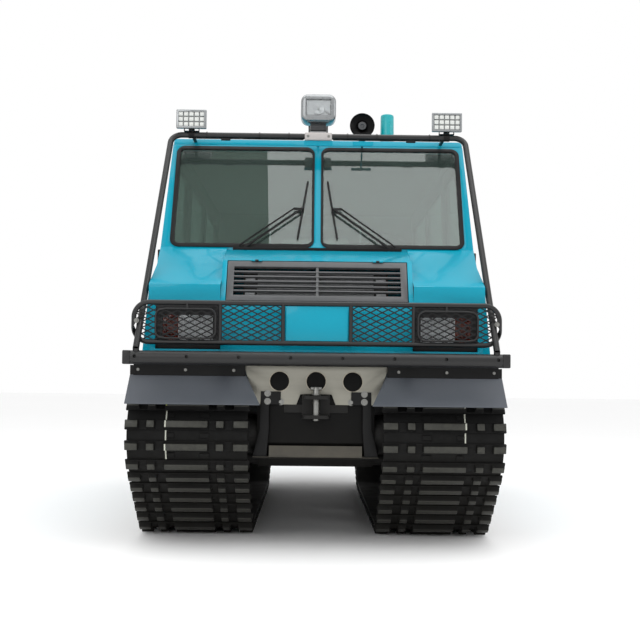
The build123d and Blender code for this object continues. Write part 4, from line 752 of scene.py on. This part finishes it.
def wheelStamp(shrink):
    # One wheel about the X axis; shrink takes the same off every radius beyond the disc
    bm = bmesh.new()
    half = [(along, radius - shrink if radius > 0.1 else radius) for along, radius in wheel["section"]]
    other = [(-along, radius) for along, radius in reversed(half[wheel["mirrorFrom"]:])]
    addTurned(bm, half + other + wheel["back"], (0, 0, 0), (1, 0, 0), 48)
    for face in bm.faces:
        middle = face.calc_center_median()
        face.material_index = 0 if hypot(middle.y, middle.z) > wheel["tyreFrom"] - shrink else 1
    for k in range(wheel["bolts"]):
        angle = 2 * pi * k / wheel["bolts"]
        place = (wheel["boltOut"], wheel["boltRing"] * cos(angle), wheel["boltRing"] * sin(angle))
        addBolt(bm, place, (1, 0, 0), wheel["boltSize"], 2)
    return bm


def addWheels():
    for name, shrink, places, node in (("roadWheels", 0.0, wheel["places"], "road_wheels"),
                                       ("idlerWheels", wheel["idlerShrink"], [wheel["idler"]], "idlers")):
        bm = bmesh.new()
        stamp = wheelStamp(shrink)
        for side in (1, -1):
            turn = Matrix.Identity(4) if side > 0 else Matrix.Rotation(pi, 4, "Z")
            addCopies(bm, stamp, [Matrix.Translation((side * wheel["middle"], y, z)) @ turn
                                  for y, z in places])
        stamp.free()
        addPiece(name, bm, ["wheel_tyre", "black_steel", "pin_steel"], replaced=(node,))


addWheels()
print("wheels")


# Diamond mesh in the brush guard

guardMesh = {
    "y": -2.238, "low": 1.2603, "high": 1.4697, "wide": 0.072, "tall": 0.036,
    "strand": 0.0075, "thick": 0.003, "layer": 0.0012,
    # Limits across of the two sheets of one side
    "sheets": [(0.2173, 0.5727), (0.5973, 1.0900)],
}


def addGuardMesh():
    bm = bmesh.new()
    g = guardMesh
    slope = atan2(g["tall"], g["wide"])
    middle = (g["low"] + g["high"]) / 2
    for x0, x1 in g["sheets"]:
        reach = (x1 - x0) / 2 + 0.1
        count = int(((g["high"] - g["low"]) / 2 + reach * tan(slope)) / g["tall"]) + 1
        for lean in (-1, 1):
            for k in range(-count, count + 1):
                part = bmesh.new()
                corner = Vector((2 * reach, g["thick"] / 2, g["strand"] / 2))
                addBox(part, -corner, corner)
                place = Matrix.Translation(((x0 + x1) / 2, g["y"] + lean * g["layer"], middle + k * g["tall"]))
                placed(part, part.verts, place @ Matrix.Rotation(lean * slope, 4, "Y"))
                for point, normal in (((x0, 0, 0), (-1, 0, 0)), ((x1, 0, 0), (1, 0, 0)),
                                      ((0, 0, g["low"]), (0, 0, -1)), ((0, 0, g["high"]), (0, 0, 1))):
                    geom = part.verts[:] + part.edges[:] + part.faces[:]
                    cut = bmesh.ops.bisect_plane(part, geom=geom, dist=1e-6, plane_co=point, plane_no=normal,
                                                 clear_outer=True)["geom_cut"]
                    edges = [item for item in cut if isinstance(item, bmesh.types.BMEdge)]
                    if edges:
                        bmesh.ops.edgeloop_fill(part, edges=edges)
                if part.faces:
                    addCopies(bm, part, [Matrix.Identity(4)])
                part.free()
    mirrored(bm)
    addPiece("guardMeshStrands", bm, ["mesh_black"], replaced=("guard_mesh",), angle=60)


addGuardMesh()
print("guard mesh")


# Work lamps: die-cast cases with three rows of five cells, on forks over the tube frame

workLamp = {
    "x": (-0.865, 0.876), "y": -1.430, "foot": 2.7185, "tubeZ": 2.680,
    "wide": 0.205, "high": 0.130, "deep": 0.072, "corner": 0.012, "rim": 0.009, "sunk": 0.009,
    "columns": 5, "rows": 3, "cell": (0.0145, 0.0135), "coolers": 11,
}


def workLampStamp():
    # One lamp with the middle of its foot at the origin, facing -Y
    bm = bmesh.new()
    w = workLamp
    half, back = w["wide"] / 2, w["deep"] / 2
    addBox(bm, (-half, -back, 0), (half, -back + 0.030, w["high"]), w["corner"] * 0.5, 3)
    front = min(bm.faces, key=lambda face: face.calc_center_median().y)
    bmesh.ops.inset_region(bm, faces=[front], thickness=w["rim"], use_even_offset=True)
    bmesh.ops.inset_region(bm, faces=[front], thickness=0.002, depth=-w["sunk"], use_even_offset=True)
    front.material_index = 1
    for k in range(w["coolers"]):
        x = -half + 0.018 + (w["wide"] - 0.036) * k / (w["coolers"] - 1)
        addBox(bm, (x - 0.0022, -back + 0.028, 0.012), (x + 0.0022, back - 0.012, w["high"] - 0.012))
    stepX = (w["wide"] - 2 * w["rim"] - 0.006) / w["columns"]
    stepZ = (w["high"] - 2 * w["rim"] - 0.006) / w["rows"]
    floor = -back + w["sunk"]
    for i in range(w["columns"]):
        for j in range(w["rows"]):
            x = (i - (w["columns"] - 1) / 2) * stepX
            z = w["high"] / 2 + (j - (w["rows"] - 1) / 2) * stepZ
            a, b = w["cell"]
            addBox(bm, (x - a, floor - 0.006, z - b), (x + a, floor + 0.001, z + b), 0.004, 2, 2)
    # Fork, a bolt at its foot, stem and clamp round the tube
    for side in (-1, 1):
        acrossBox(bm, side, (0.048, -0.012, -0.012), (0.052, 0.014, 0.006), index=3)
    addBox(bm, (-0.052, -0.014, -0.016), (0.052, 0.016, -0.011), 0.001, 1, index=3)
    addBox(bm, (-0.020, -0.010, -0.006), (0.020, 0.012, 0.002), index=3)
    addRod(bm, (0, 0, w["tubeZ"] - w["foot"]), (0, 0, -0.014), 0.011, segments=16, index=3)
    addTurned(bm, [(-0.020, 0.0197), (-0.020, 0.0235), (0.020, 0.0235), (0.020, 0.0197)],
              (0, 0, w["tubeZ"] - w["foot"]), (1, 0, 0), 24, index=3)
    addBolt(bm, (0, 0, -0.013), (0, 0, 1), 0.010, index=4)
    return bm


def addWorkLamps():
    bm = bmesh.new()
    stamp = workLampStamp()
    addCopies(bm, stamp, [Matrix.Translation((x, workLamp["y"], workLamp["foot"])) for x in workLamp["x"]])
    stamp.free()
    addPiece("workLampCases", bm, ["lamp_silver", "cell_grid", "led", "black_steel", "pin_steel"],
             replaced=("work_lamps",))


addWorkLamps()
print("work lamps")


# Searchlight: chromed head with a sunk face, in a grey neck on the drive's block

searchlight = {
    "y": -1.165, "panZ": 2.7405, "tiltZ": 2.78886, "low": 2.8245, "high": 3.0245,
    "wide": 0.247, "deep": 0.165,
    "corner": 0.052, "rimRound": 0.026, "faceWide": 0.176, "faceHigh": 0.112, "faceRise": 0.012, "sunk": 0.020,
}


def addSearchlight():
    s = searchlight
    half, back = s["wide"] / 2, s["deep"] / 2
    middle = (s["low"] + s["high"]) / 2
    bm = bmesh.new()
    addBox(bm, (-half, s["y"] - back, s["low"]), (half, s["y"] + back, s["high"]))
    alongY = [e for e in bm.edges if abs(e.verts[0].co.y - e.verts[1].co.y) > back]
    bevelled(bm, alongY, s["corner"], 6)
    caps = [face for face in bm.faces if abs(face.normal.y) > 0.9]
    rims = [edge for face in caps for edge in face.edges]
    bevelled(bm, rims, s["rimRound"], 4)
    caps = [face for face in bm.faces if abs(face.normal.y) > 0.99]
    front = min(caps, key=lambda face: face.calc_center_median().y)
    bmesh.ops.inset_region(bm, faces=[front], thickness=0.008, use_even_offset=True)
    centre = Vector((0, front.calc_center_median().y, middle + s["faceRise"] - 0.006))
    for vert in front.verts:
        vert.co.x = max(-s["faceWide"] / 2, min(s["faceWide"] / 2, vert.co.x * 1.2))
        vert.co.z = centre.z + max(-s["faceHigh"] / 2, min(s["faceHigh"] / 2, (vert.co.z - centre.z) * 1.2))
    bmesh.ops.inset_region(bm, faces=[front], thickness=0.006, depth=-s["sunk"], use_even_offset=True)
    front.material_index = 1
    # Foot between the cheeks of the neck
    addRod(bm, (-0.0565, s["y"], s["tiltZ"]), (0.0565, s["y"], s["tiltZ"]), 0.017, index=2)
    addBox(bm, (-0.0560, s["y"] - 0.014, s["tiltZ"]), (0.0560, s["y"] + 0.014, s["low"] + 0.004), 0.003, 2, 2)
    faceY = s["y"] - back + s["sunk"]
    bulb = (0, faceY, centre.z - 0.010)
    bowl = [(-0.001, 0.0), (0.0, 0.010), (0.006, 0.026), (0.010, 0.038), (0.010, 0.040), (-0.001, 0.041)]
    addTurned(bm, bowl, bulb, (0, -1, 0), 32, 1)
    addTurned(bm, [(0.0, 0.006), (0.012, 0.006), (0.016, 0.0)], bulb, (0, -1, 0), 16, 3)
    addPiece("searchlightHead", bm, ["lamp_silver", "reflector", "case_grey", "led"], "search_head",
             ("searchlight_head",))
    glass = bmesh.new()
    wide, high, glassY = s["faceWide"] / 2 - 0.002, s["faceHigh"] / 2 - 0.002, s["y"] - back + 0.0045
    addBox(glass, (-wide, glassY, centre.z - high), (wide, glassY + 0.0025, centre.z + high), 0.0008, 1)
    addPiece("searchlightGlass", glass, ["lens_clear"], "search_head")
    neck = bmesh.new()
    y, z0 = s["y"], s["panZ"]
    addTurned(neck, [(0.0, 0.0), (0.0, 0.0345), (0.004, 0.035), (0.016, 0.033), (0.022, 0.030), (0.022, 0.0)],
              (0, y, z0), (0, 0, 1), 40)
    addBox(neck, (-0.069, y - 0.0245, z0 + 0.012), (0.069, y + 0.0245, z0 + 0.024), 0.003, 2)
    for side in (-1, 1):
        acrossBox(neck, side, (0.0572, y - 0.0245, z0 + 0.014), (0.069, y + 0.0245, s["tiltZ"]), 0.002, 2)
        x0, x1 = sorted((side * 0.0572, side * 0.069))
        addRod(neck, (x0, y, s["tiltZ"]), (x1, y, s["tiltZ"]), 0.0245, segments=32)
    addPiece("searchlightNeck", neck, ["case_grey"], "search_neck", replaced=("searchlight_neck",))


addSearchlight()
print("searchlight")


# Horn and beacon

horn = {"x": 0.310, "front": -1.210, "z": 2.8115, "radius": 0.0875,
        # Stem and foot plate: half width, front, back, head and rounding of each; bolts: out, y, z and size
        "roofZ": 2.690, "feet": [(0.022, -1.172, -1.148, 2.775, 0.002), (0.030, -1.178, -1.142, 2.694, 0.001)],
        "bolt": (0.024, -1.160, 2.694, 0.007)}
beacon = {"x": 0.490, "y": -1.130, "foot": 2.690, "base": 0.024, "top": 2.905, "radius": 0.0480,
          "ribs": 24, "ribDepth": 0.02}


def addHorn():
    bm = bmesh.new()
    r = horn["radius"]
    section = [(0.016, 0.0), (0.016, 0.010), (0.010, 0.014), (0.012, 0.028), (0.030, 0.034), (0.018, 0.060),
               (0.006, 0.080), (0.0, r - 0.002), (0.002, r), (0.012, r), (0.018, r - 0.012), (0.040, 0.060),
               (0.090, 0.046), (0.094, 0.040), (0.118, 0.038), (0.120, 0.030), (0.120, 0.0)]
    addTurned(bm, section, (horn["x"], horn["front"], horn["z"]), (0, 1, 0), 56)
    for face in bm.faces:
        middle = face.calc_center_median()
        out = hypot(middle.x - horn["x"], middle.z - horn["z"])
        face.material_index = 1 if out < 0.030 and middle.y < horn["front"] + 0.03 else 0
    for half, front, back, head, edge in horn["feet"]:
        addBox(bm, (horn["x"] - half, front, horn["roofZ"]), (horn["x"] + half, back, head), edge, 1)
    out, y, z, size = horn["bolt"]
    for side in (-1, 1):
        addBolt(bm, (horn["x"] + side * out, y, z), (0, 0, 1), size, 2)
    addPiece("hornFinished", bm, ["horn_black", "case_grey", "pin_steel"], replaced=("horn",))


def addBeacon():
    b = beacon
    bm = bmesh.new()
    base = b["base"]
    foot = [(0.0, 0.0), (0.0, 0.0510), (0.004, 0.0515), (0.016, 0.0510), (base, 0.0485), (base, 0.0)]
    addTurned(bm, foot, (b["x"], b["y"], b["foot"]), (0, 0, 1), 48, 1)
    high = b["top"] - b["foot"] - base
    dome = [(0.0, 0.0), (0.0, b["radius"]), (high - 0.014, b["radius"] - 0.001),
            (high - 0.005, b["radius"] - 0.005), (high, b["radius"] - 0.014), (high, 0.0)]
    addTurned(bm, dome, (b["x"], b["y"], b["foot"] + base), (0, 0, 1), b["ribs"] * 3)
    for vert in bm.verts:
        if b["foot"] + 0.03 < vert.co.z < b["top"] - 0.008:
            angle = atan2(vert.co.y - b["y"], vert.co.x - b["x"])
            pull = 1 - b["ribDepth"] * (1 + cos(angle * b["ribs"]))
            vert.co.x = b["x"] + (vert.co.x - b["x"]) * pull
            vert.co.y = b["y"] + (vert.co.y - b["y"]) * pull
    addPiece("beaconFinished", bm, ["beacon_teal", "case_white"], replaced=("beacon",))


addHorn()
addBeacon()
print("horn and beacon")


# Headlamps: a plated reflector with a ribbed clear cover, and the amber lamp outside it

headlamp = {
    "inner": 0.6403, "outer": 0.8517, "amberOuter": 0.9477, "low": 1.2623, "high": 1.4157,
    "front": -2.114, "back": -2.0985, "bowl": 0.062, "amberBowl": 0.036, "thick": 0.003, "gap": 0.0006,
    # Prism ribs inside each cover: number and margin at its inner side, the other margins, radius, depth
    "ribs": (24, 0.006), "amberRibs": (10, 0.0074), "ribMargin": 0.006, "ribRadius": 0.0022, "ribSunk": 0.0025,
}


def ribbedCover(x0, x1, count, first):
    h = headlamp
    bm = bmesh.new()
    addBox(bm, (x0, h["front"], h["low"]), (x1, h["front"] + h["thick"], h["high"]), 0.001, 2)
    start, end, y = x0 + first, x1 - h["ribMargin"], h["front"] + h["ribSunk"]
    for k in range(count):
        x = start + (end - start) * (k + 0.5) / count
        addRod(bm, (x, y, h["low"] + h["ribMargin"]), (x, y, h["high"] - h["ribMargin"]), h["ribRadius"],
               segments=8)
    return bm


def addHeadlamps():
    h = headlamp
    cover = ribbedCover(h["inner"], h["outer"], *h["ribs"])
    amber = ribbedCover(h["outer"] + h["gap"], h["amberOuter"], *h["amberRibs"])
    plate = bmesh.new()
    addBox(plate, (h["inner"], h["back"] - 0.0015, h["low"]), (h["amberOuter"], h["back"], h["high"]))
    for x0, x1, radius in ((h["inner"], h["outer"], h["bowl"]), (h["outer"], h["amberOuter"], h["amberBowl"])):
        middle = ((x0 + x1) / 2, h["back"] - 0.0015, (h["low"] + h["high"]) / 2)
        addTurned(plate, [(0.0, 0.008), (0.003, radius * 0.5), (0.009, radius), (0.0095, radius + 0.003),
                          (0.0, radius + 0.004)], middle, (0, -1, 0), 40)
        addTurned(plate, [(0.0, 0.006), (0.007, 0.006), (0.0085, 0.0)], middle, (0, -1, 0), 16, 1)
    for bm in (cover, amber, plate):
        mirrored(bm)
    addPiece("headlampCovers", cover, ["lens_clear"], replaced=("headlamp_lenses",))
    addPiece("indicatorCovers", amber, ["lens_amber"], replaced=("indicator_lenses",))
    addPiece("headlampReflectors", plate, ["reflector", "led"])


addHeadlamps()
print("headlamps")


# Bumper tube with its row of small holes

bumper = {"y": -2.3085, "z": 1.150, "radius": 0.0415, "half": 1.155, "cap": 0.045, "holes": 8,
          "holePitch": 0.309, "holeRadius": 0.0105, "holeRise": 0.006,
          # Arm back to the hull: inner and outer end across, foot and head
          "arm": (0.520, 0.600, 1.124, 1.156)}


def applied(obj):
    # Takes the modifiers' result as the mesh
    shown = obj.evaluated_get(bpy.context.evaluated_depsgraph_get())
    mesh = bpy.data.meshes.new_from_object(shown)
    obj.modifiers.clear()
    obj.data = mesh
    return obj


def addBumper():
    b = bumper
    bm = bmesh.new()
    inner = b["half"] - b["cap"]
    addRod(bm, (-inner, b["y"], b["z"]), (inner, b["y"], b["z"]), b["radius"], segments=64)
    tube = looseObject("bumperTube", bm)
    holes = bmesh.new()
    for k in range(b["holes"]):
        x = (k - (b["holes"] - 1) / 2) * b["holePitch"]
        addRod(holes, (x, b["y"] - 0.06, b["z"] + b["holeRise"]), (x, b["y"] - 0.012, b["z"] + b["holeRise"]),
               b["holeRadius"], segments=20)
    cutter = looseObject("bumperHoles", holes)
    cut = tube.modifiers.new("holes", "BOOLEAN")
    cut.operation = "DIFFERENCE"
    cut.solver = "EXACT"
    cut.object = cutter
    applied(tube)
    bm = bmesh.new()
    bm.from_mesh(tube.data)
    bpy.data.objects.remove(tube)
    bpy.data.objects.remove(cutter)
    bmesh.ops.remove_doubles(bm, verts=bm.verts, dist=1e-5)
    for side in (-1, 1):
        y, z, r = b["y"], b["z"], b["radius"]
        acrossBox(bm, side, (inner - 0.001, y - r, z - r), (b["half"], y + r, z + r), 0.007, 3)
        x0, x1, z0, z1 = b["arm"]
        acrossBox(bm, side, (x0, y, z0), (x1, plateY, z1), 0.002, 1)
    addPiece("bumperTube", bm, ["tube_black"], replaced=("bumper",))


addBumper()
print("bumper")


# Fasteners on both sides of the vehicle

fastener = {
    # Places across, y, z, way they face along Y and size across the flats
    "rows": [
        ((0.505, 0.800, 1.090), -2.136, 1.078, -1, 0.019),
        ((0.296,), -2.142, 0.940, -1, 0.024),
        ((0.296,), -2.142, 0.892, -1, 0.024),
        ((0.215,), plateY, 0.889, -1, 0.024),
        ((1.088,), -2.253, 1.372, -1, 0.018),
        ((0.420, 0.560, 0.700, 0.840, 0.980, 1.100), 2.086, 1.090, 1, 0.016),
    ],
    # Washers round the hitch plate's holes: half spacings, middle, and section along and out
    "hitch": (0.06, 0.0275), "hitchY": 2.166, "hitchZ": 0.930,
    "washer": [(0.0, 0.0076), (0.0, 0.013), (0.0015, 0.013), (0.0015, 0.0076)],
}


def addFasteners():
    f = fastener
    bm = bmesh.new()
    for side in (-1, 1):
        for places, y, z, facing, size in f["rows"]:
            for x in places:
                addBolt(bm, (side * x, y, z), (0, facing, 0), size)
    halfX, halfZ = f["hitch"]
    for x in (-halfX, halfX):
        for z in (-halfZ, halfZ):
            addTurned(bm, f["washer"], (x, f["hitchY"], f["hitchZ"] + z), (0, 1, 0), 24)
    addPiece("fasteners", bm, ["pin_steel"])


addFasteners()
print("fasteners")


# Trim: strips over the flaps, cowl lip, hinge caps, toe plate, rims of the plate's holes, and the radiator

trim = {
    "strip": ((0.436, -2.1425, 1.043), (1.118, -2.1362, 1.112)),
    "holes": (-0.2245, 0.0, 0.2245), "holeZ": 1.015, "holeRadius": 0.0588,
    "cowlLip": ((-0.555, -1.688, 1.868), (0.555, -1.672, 1.888)),
    # Radiator's core: across, along the grille's slope and below it
    "core": ((-0.42, 0.030, 0.085), (0.40, 0.270, 0.105)), "fins": 22,
    # Plate over the hull's toe, dusty and with a painted highlight: half width, height and depth of its foot
    # and head, thickness
    "toe": (0.284, (0.556, -2.152), (0.622, -2.126), 0.006),
    # Caps over the door hinges: beyond the axis, before and behind it, half height, heights
    "hingeCap": (1.052, 1.074, -1.4925, -1.4605, 0.047, (1.330, 1.840)),
}


def addHingeCaps():
    x0, x1, y0, y1, half, heights = trim["hingeCap"]
    caps = bmesh.new()
    for z in heights:
        addBox(caps, (x0, y0, z - half), (x1, y1, z + half), 0.006, 2)
    mirrored(caps)
    addPiece("hingeCaps", caps, ["black_steel"])


def addFrontStrips():
    t = trim
    bm = bmesh.new()
    addBox(bm, *t["strip"], 0.001, 1)
    mirrored(bm)
    addBox(bm, *t["cowlLip"], 0.003, 2)
    half, (z0, y0), (z1, y1), thick = t["toe"]
    # Plate over the toe, in dust and a painted highlight
    toe = addBox(bm, (-half, y0 - thick, z0), (half, y0, z1), index=1)
    for vert in toe:
        vert.co.y += (y1 - y0) * (vert.co.z - z0) / (z1 - z0)
    addPiece("frontStrips", bm, ["black_steel", "toe_dust_and_highlight"])


def addHoleRims():
    t = trim
    bm = bmesh.new()
    r = t["holeRadius"]
    rim = [(-0.009, r), (0.001, r), (0.0015, r + 0.001), (0.001, r + 0.005), (-0.001, r + 0.005)]
    for x in t["holes"]:
        addTurned(bm, rim, (x, plateY, t["holeZ"]), (0, -1, 0), 48)
    addPiece("holeRims", bm, ["bare_edge"])


def addRadiator():
    t = trim
    bm = bmesh.new()
    (x0, a0, d0), (x1, a1, d1) = t["core"]
    addBox(bm, (x0, a0, -d1), (x1, a1, -d0), index=1)
    for k in range(t["fins"]):
        a = a0 + (a1 - a0) * (k + 0.5) / t["fins"]
        addBox(bm, (x0 + 0.01, a - 0.0016, -d0 - 0.001), (x1 - 0.01, a + 0.0016, -d0 + 0.010))
    for x in (x0, x1):
        addBox(bm, (x - 0.045, a0, -d1 - 0.01), (x + 0.045, a1, -d0 + 0.018), 0.010, 3, 2)
        for low, high in ((a0 + 0.055, a0 + 0.095), (a1 - 0.085, a1 - 0.055)):
            addBox(bm, (x - 0.030, low, -d0 + 0.016), (x + 0.030, high, -d0 + 0.026), 0.003, 2)
    across, along = Vector((1, 0, 0)), grille["slope"]
    turn = Matrix((across, along, across.cross(along))).transposed().to_4x4()
    placed(bm, bm.verts, Matrix.Translation(grille["foot"]) @ turn)
    # The fins take a finish brightened as painted light, since they sit in shade
    addPiece("radiator", bm, ["fin_alloy_painted_bright", "black_steel", "cast_steel"])


addHingeCaps()
addFrontStrips()
addHoleRims()
addRadiator()
print("front trim")


# Rubber gaskets on the outside of the side and rear panes, along their edges

gasket = {
    "wide": 0.018, "thick": 0.004, "leastArea": 0.03,
    # node, axis that its panes face and the sides that have them
    "panes": [("door_glass_left", 0, (1,)), ("door_glass_right", 0, (-1,)), ("fixed_glass", 0, (-1, 1)),
              ("rear_door_glass", 1, (1,))],
}


def addGaskets():
    wide, thick = gasket["wide"], gasket["thick"]
    for node, axis, sides in gasket["panes"]:
        source, bm = cleaned(node), bmesh.new()
        for face in source.faces:
            centre = face.calc_center_median()
            facing = any(face.normal[axis] * side > 0.8 and centre[axis] * side > 0 for side in sides)
            if not facing or face.calc_area() < gasket["leastArea"]:
                continue
            places = [vert.co.copy() for vert in face.verts]
            rings = [[], [], [], []]
            for before, place, after in zip(places[-1:] + places[:-1], places, places[1:] + places[:1]):
                n0 = face.normal.cross((place - before).normalized())
                n1 = face.normal.cross((after - place).normalized())
                inner = place + (n0 + n1) / (1 + n0.dot(n1)) * wide
                out = face.normal * thick
                for ring, at in zip(rings, (place, place + out, inner + out, inner)):
                    ring.append(bm.verts.new(at))
            count = len(places)
            for ring, other in zip(rings, rings[1:] + rings[:1]):
                for i in range(count):
                    bm.faces.new((ring[i], ring[(i + 1) % count], other[(i + 1) % count], other[i]))
        source.free()
        bmesh.ops.recalc_face_normals(bm, faces=bm.faces)
        addPiece(node.replace("glass", "gasket"), bm, ["seal_rubber"], bodyOf[node])


addGaskets()
print("gaskets")


# Fittings at the top tube: clamp of the searchlight's drive, brackets under it and under the horn, lamp leads

topFittings = {
    "clamp": ((-0.093, -1.466, 2.649), (0.093, -1.394, 2.702)), "clampBolts": (0.070, 2.676, 0.011),
    # Middle across, half width, foot of the lip and top of each bracket
    "brackets": ((0.0, 0.097, 2.612, 2.649), (0.305, 0.070, 2.616, 2.645)),
    "bracketY": (-1.452, -1.270), "bracketThick": 0.010, "lip": 0.008, "armHalf": 0.006,
    # Lead under the tube: height, radius, ends, its rise to the lamp, its box and its clips
    "leadZ": 2.6572, "leadRadius": 0.003, "lead": (0.100, 0.852), "leadRise": (0.004, -0.018, 2.706),
    "box": (0.600, 0.664), "clips": (0.200, 0.400, 0.760),
    "clip": [(-0.003, 0.0198), (-0.003, 0.0240), (0.003, 0.0240), (0.003, 0.0198)],
}


def addTopFittings():
    t = topFittings
    bm = bmesh.new()
    addBox(bm, *t["clamp"], 0.008, 3)
    out, z, size = t["clampBolts"]
    for x in (-out, out):
        addBolt(bm, (x, t["clamp"][0][1], z), (0, -1, 0), size, 1)
    addPiece("searchlightClamp", bm, ["case_white", "pin_steel"])
    bm = bmesh.new()
    front, back = t["bracketY"]
    for x, half, foot, top in t["brackets"]:
        arm = t["armHalf"]
        addBox(bm, (x - half, front, foot), (x + half, front + t["lip"], top), 0.002, 1)
        addBox(bm, (x - arm, front, top - t["bracketThick"]), (x + arm, back, top), 0.002, 1)
    addPiece("roofBrackets", bm, ["body_blue"])
    bm = bmesh.new()
    y, z, r = workLamp["y"], t["leadZ"], t["leadRadius"]
    low, high = t["lead"]
    addRod(bm, (low, y, z), (high, y, z), r, segments=10)
    dx, dy, rise = t["leadRise"]
    addRod(bm, (high, y, z), (high + dx, y + dy, rise), r, segments=10)
    addBox(bm, (t["box"][0], y - 0.010, z - 0.012), (t["box"][1], y + 0.010, z + 0.004), 0.003, 2)
    for x in t["clips"]:
        addTurned(bm, t["clip"], (x, y, workLamp["tubeZ"]), (1, 0, 0), 20)
    mirrored(bm)
    addPiece("lampLeads", bm, ["lamp_black"])


addTopFittings()
print("fittings at the top tube")


# Tow pin with its collar and short T-handle

towPin = {"y": -2.190, "foot": 0.776, "head": 0.982, "radius": 0.0200, "hole": 0.019,
          "collar": (0.9305, 0.942), "collarRadius": 0.028, "handle": 0.034, "handleRadius": 0.010}


def addTowPin():
    p = towPin
    bm = bmesh.new()
    high = p["head"] - p["foot"]
    addTurned(bm, [(0.0, 0.0), (0.0, p["radius"] - 0.004), (0.004, p["radius"]), (high - 0.012, p["radius"]),
                   (high, p["radius"] - 0.006), (high, 0.0)], (0, p["y"], p["foot"]), (0, 0, 1), 32)
    low, top = p["collar"]
    r, thick = p["collarRadius"], top - low
    addTurned(bm, [(0.0, p["hole"]), (0.0, r - 0.001), (0.002, r), (thick - 0.002, r), (thick, p["hole"])],
              (0, p["y"], low), (0, 0, 1), 32)
    r, long = p["handleRadius"], 2 * p["handle"]
    addTurned(bm, [(0.0, 0.0), (0.0, r - 0.002), (0.002, r), (long - 0.002, r), (long, r - 0.002), (long, 0.0)],
              (-p["handle"], p["y"], p["head"] - r), (1, 0, 0), 24)
    addPiece("towPinFinished", bm, ["pin_steel"], bodyOf["tow_pin"], replaced=("tow_pin",))


addTowPin()
print("tow pin")


# Seats: foam under woven cloth, blown out a little by a cloth simulation

cushion = {
    "shrink": 0.008, "round": 0.030, "pressure": 4.0, "frames": 20, "fill": 0.8,
    # Sewn channels: half width, and the share of the cushion's half thickness that they pull in
    "channelHalf": 0.016, "channelPull": 0.22,
    # name, node, low and high corner, voxel, cap on the swelling, places of the channels along an axis
    "pieces": [
        ("seatCushion", "front_seats", (0.220, -1.040, 1.3703), (0.720, -0.560, 1.4903), 0.010, 0.012,
         {"x": (0.345, 0.595), "y": (-0.900,)}),
        ("seatBack", "front_seats", (0.230, -0.5597, 1.3703), (0.710, -0.450, 2.0103), 0.010, 0.011,
         {"x": (0.345, 0.595), "z": (1.560, 1.790)}),
        ("benchPad", "bench_pads", (0.5697, -0.250, 1.4203), (0.9897, 1.980, 1.5103), 0.014, 0.010,
         {"y": (0.307, 0.865, 1.422)}),
        ("benchBack", "bench_pads", (0.9297, -0.250, 1.5106), (0.9897, 1.980, 1.790), 0.012, 0.007,
         {"y": (0.307, 0.865, 1.422)}),
    ],
}


def swell(obj, cap):
    # Cloth under pressure, with each point's travel capped
    start = [vert.co.copy() for vert in obj.data.vertices]
    cloth = obj.modifiers.new("foam", "CLOTH")
    cloth.settings.use_pressure = True
    cloth.settings.uniform_pressure_force = cushion["pressure"]
    cloth.settings.effector_weights.gravity = 0.0
    scene = bpy.context.scene
    for step in range(1, cushion["frames"] + 1):
        scene.frame_set(step)
    applied(obj)
    scene.frame_set(1)
    for vert, old in zip(obj.data.vertices, start):
        move = vert.co - old
        if move.length > cap:
            vert.co = old + move * (cap / move.length)


def addCushion(name, node, low, high, voxel, cap, channels):
    low, high = Vector(low), Vector(high)
    bm = bmesh.new()
    shrink = Vector((1, 1, 1)) * cushion["shrink"]
    addBox(bm, low + shrink, high - shrink, min(cushion["round"], min(high - low) * 0.3), 3)
    obj = looseObject(name + "Foam", bm)
    remesh = obj.modifiers.new("voxels", "REMESH")
    remesh.mode = "VOXEL"
    remesh.voxel_size = voxel
    applied(obj)
    swell(obj, cap)
    bm = bmesh.new()
    bm.from_mesh(obj.data)
    bpy.data.objects.remove(obj)
    middle = (low + high) / 2
    thin = min(range(3), key=lambda axis: (high - low)[axis])
    for vert in bm.verts:
        pull = 0.0
        for key, lines in channels.items():
            along = vert.co["xyz".index(key)]
            for line in lines:
                pull = max(pull, max(0.0, 1 - abs(along - line) / cushion["channelHalf"]) ** 2)
        vert.co[thin] += (middle[thin] - vert.co[thin]) * cushion["channelPull"] * pull
        for axis in range(3):
            vert.co[axis] = max(low[axis], min(high[axis], vert.co[axis]))
    for side in (1, -1):
        copy = bm.copy() if side > 0 else flipped(bm.copy())
        piece = addPiece(name + ("Left" if side > 0 else "Right"), copy, ["seat_cloth"], replaced=(node,),
                         angle=80)
        smooth = piece.modifiers.new("smooth", "SUBSURF")
        smooth.levels = smooth.render_levels = 1
    bm.free()


for entry in cushion["pieces"]:
    addCushion(*entry)
print("seats")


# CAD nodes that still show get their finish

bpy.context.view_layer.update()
for name, node in cad.items():
    if not node.hide_render:
        node.data.materials.clear()
        node.data.materials.append(finish["rear_glass" if name == "rear_door_glass" else slotOf[name]])
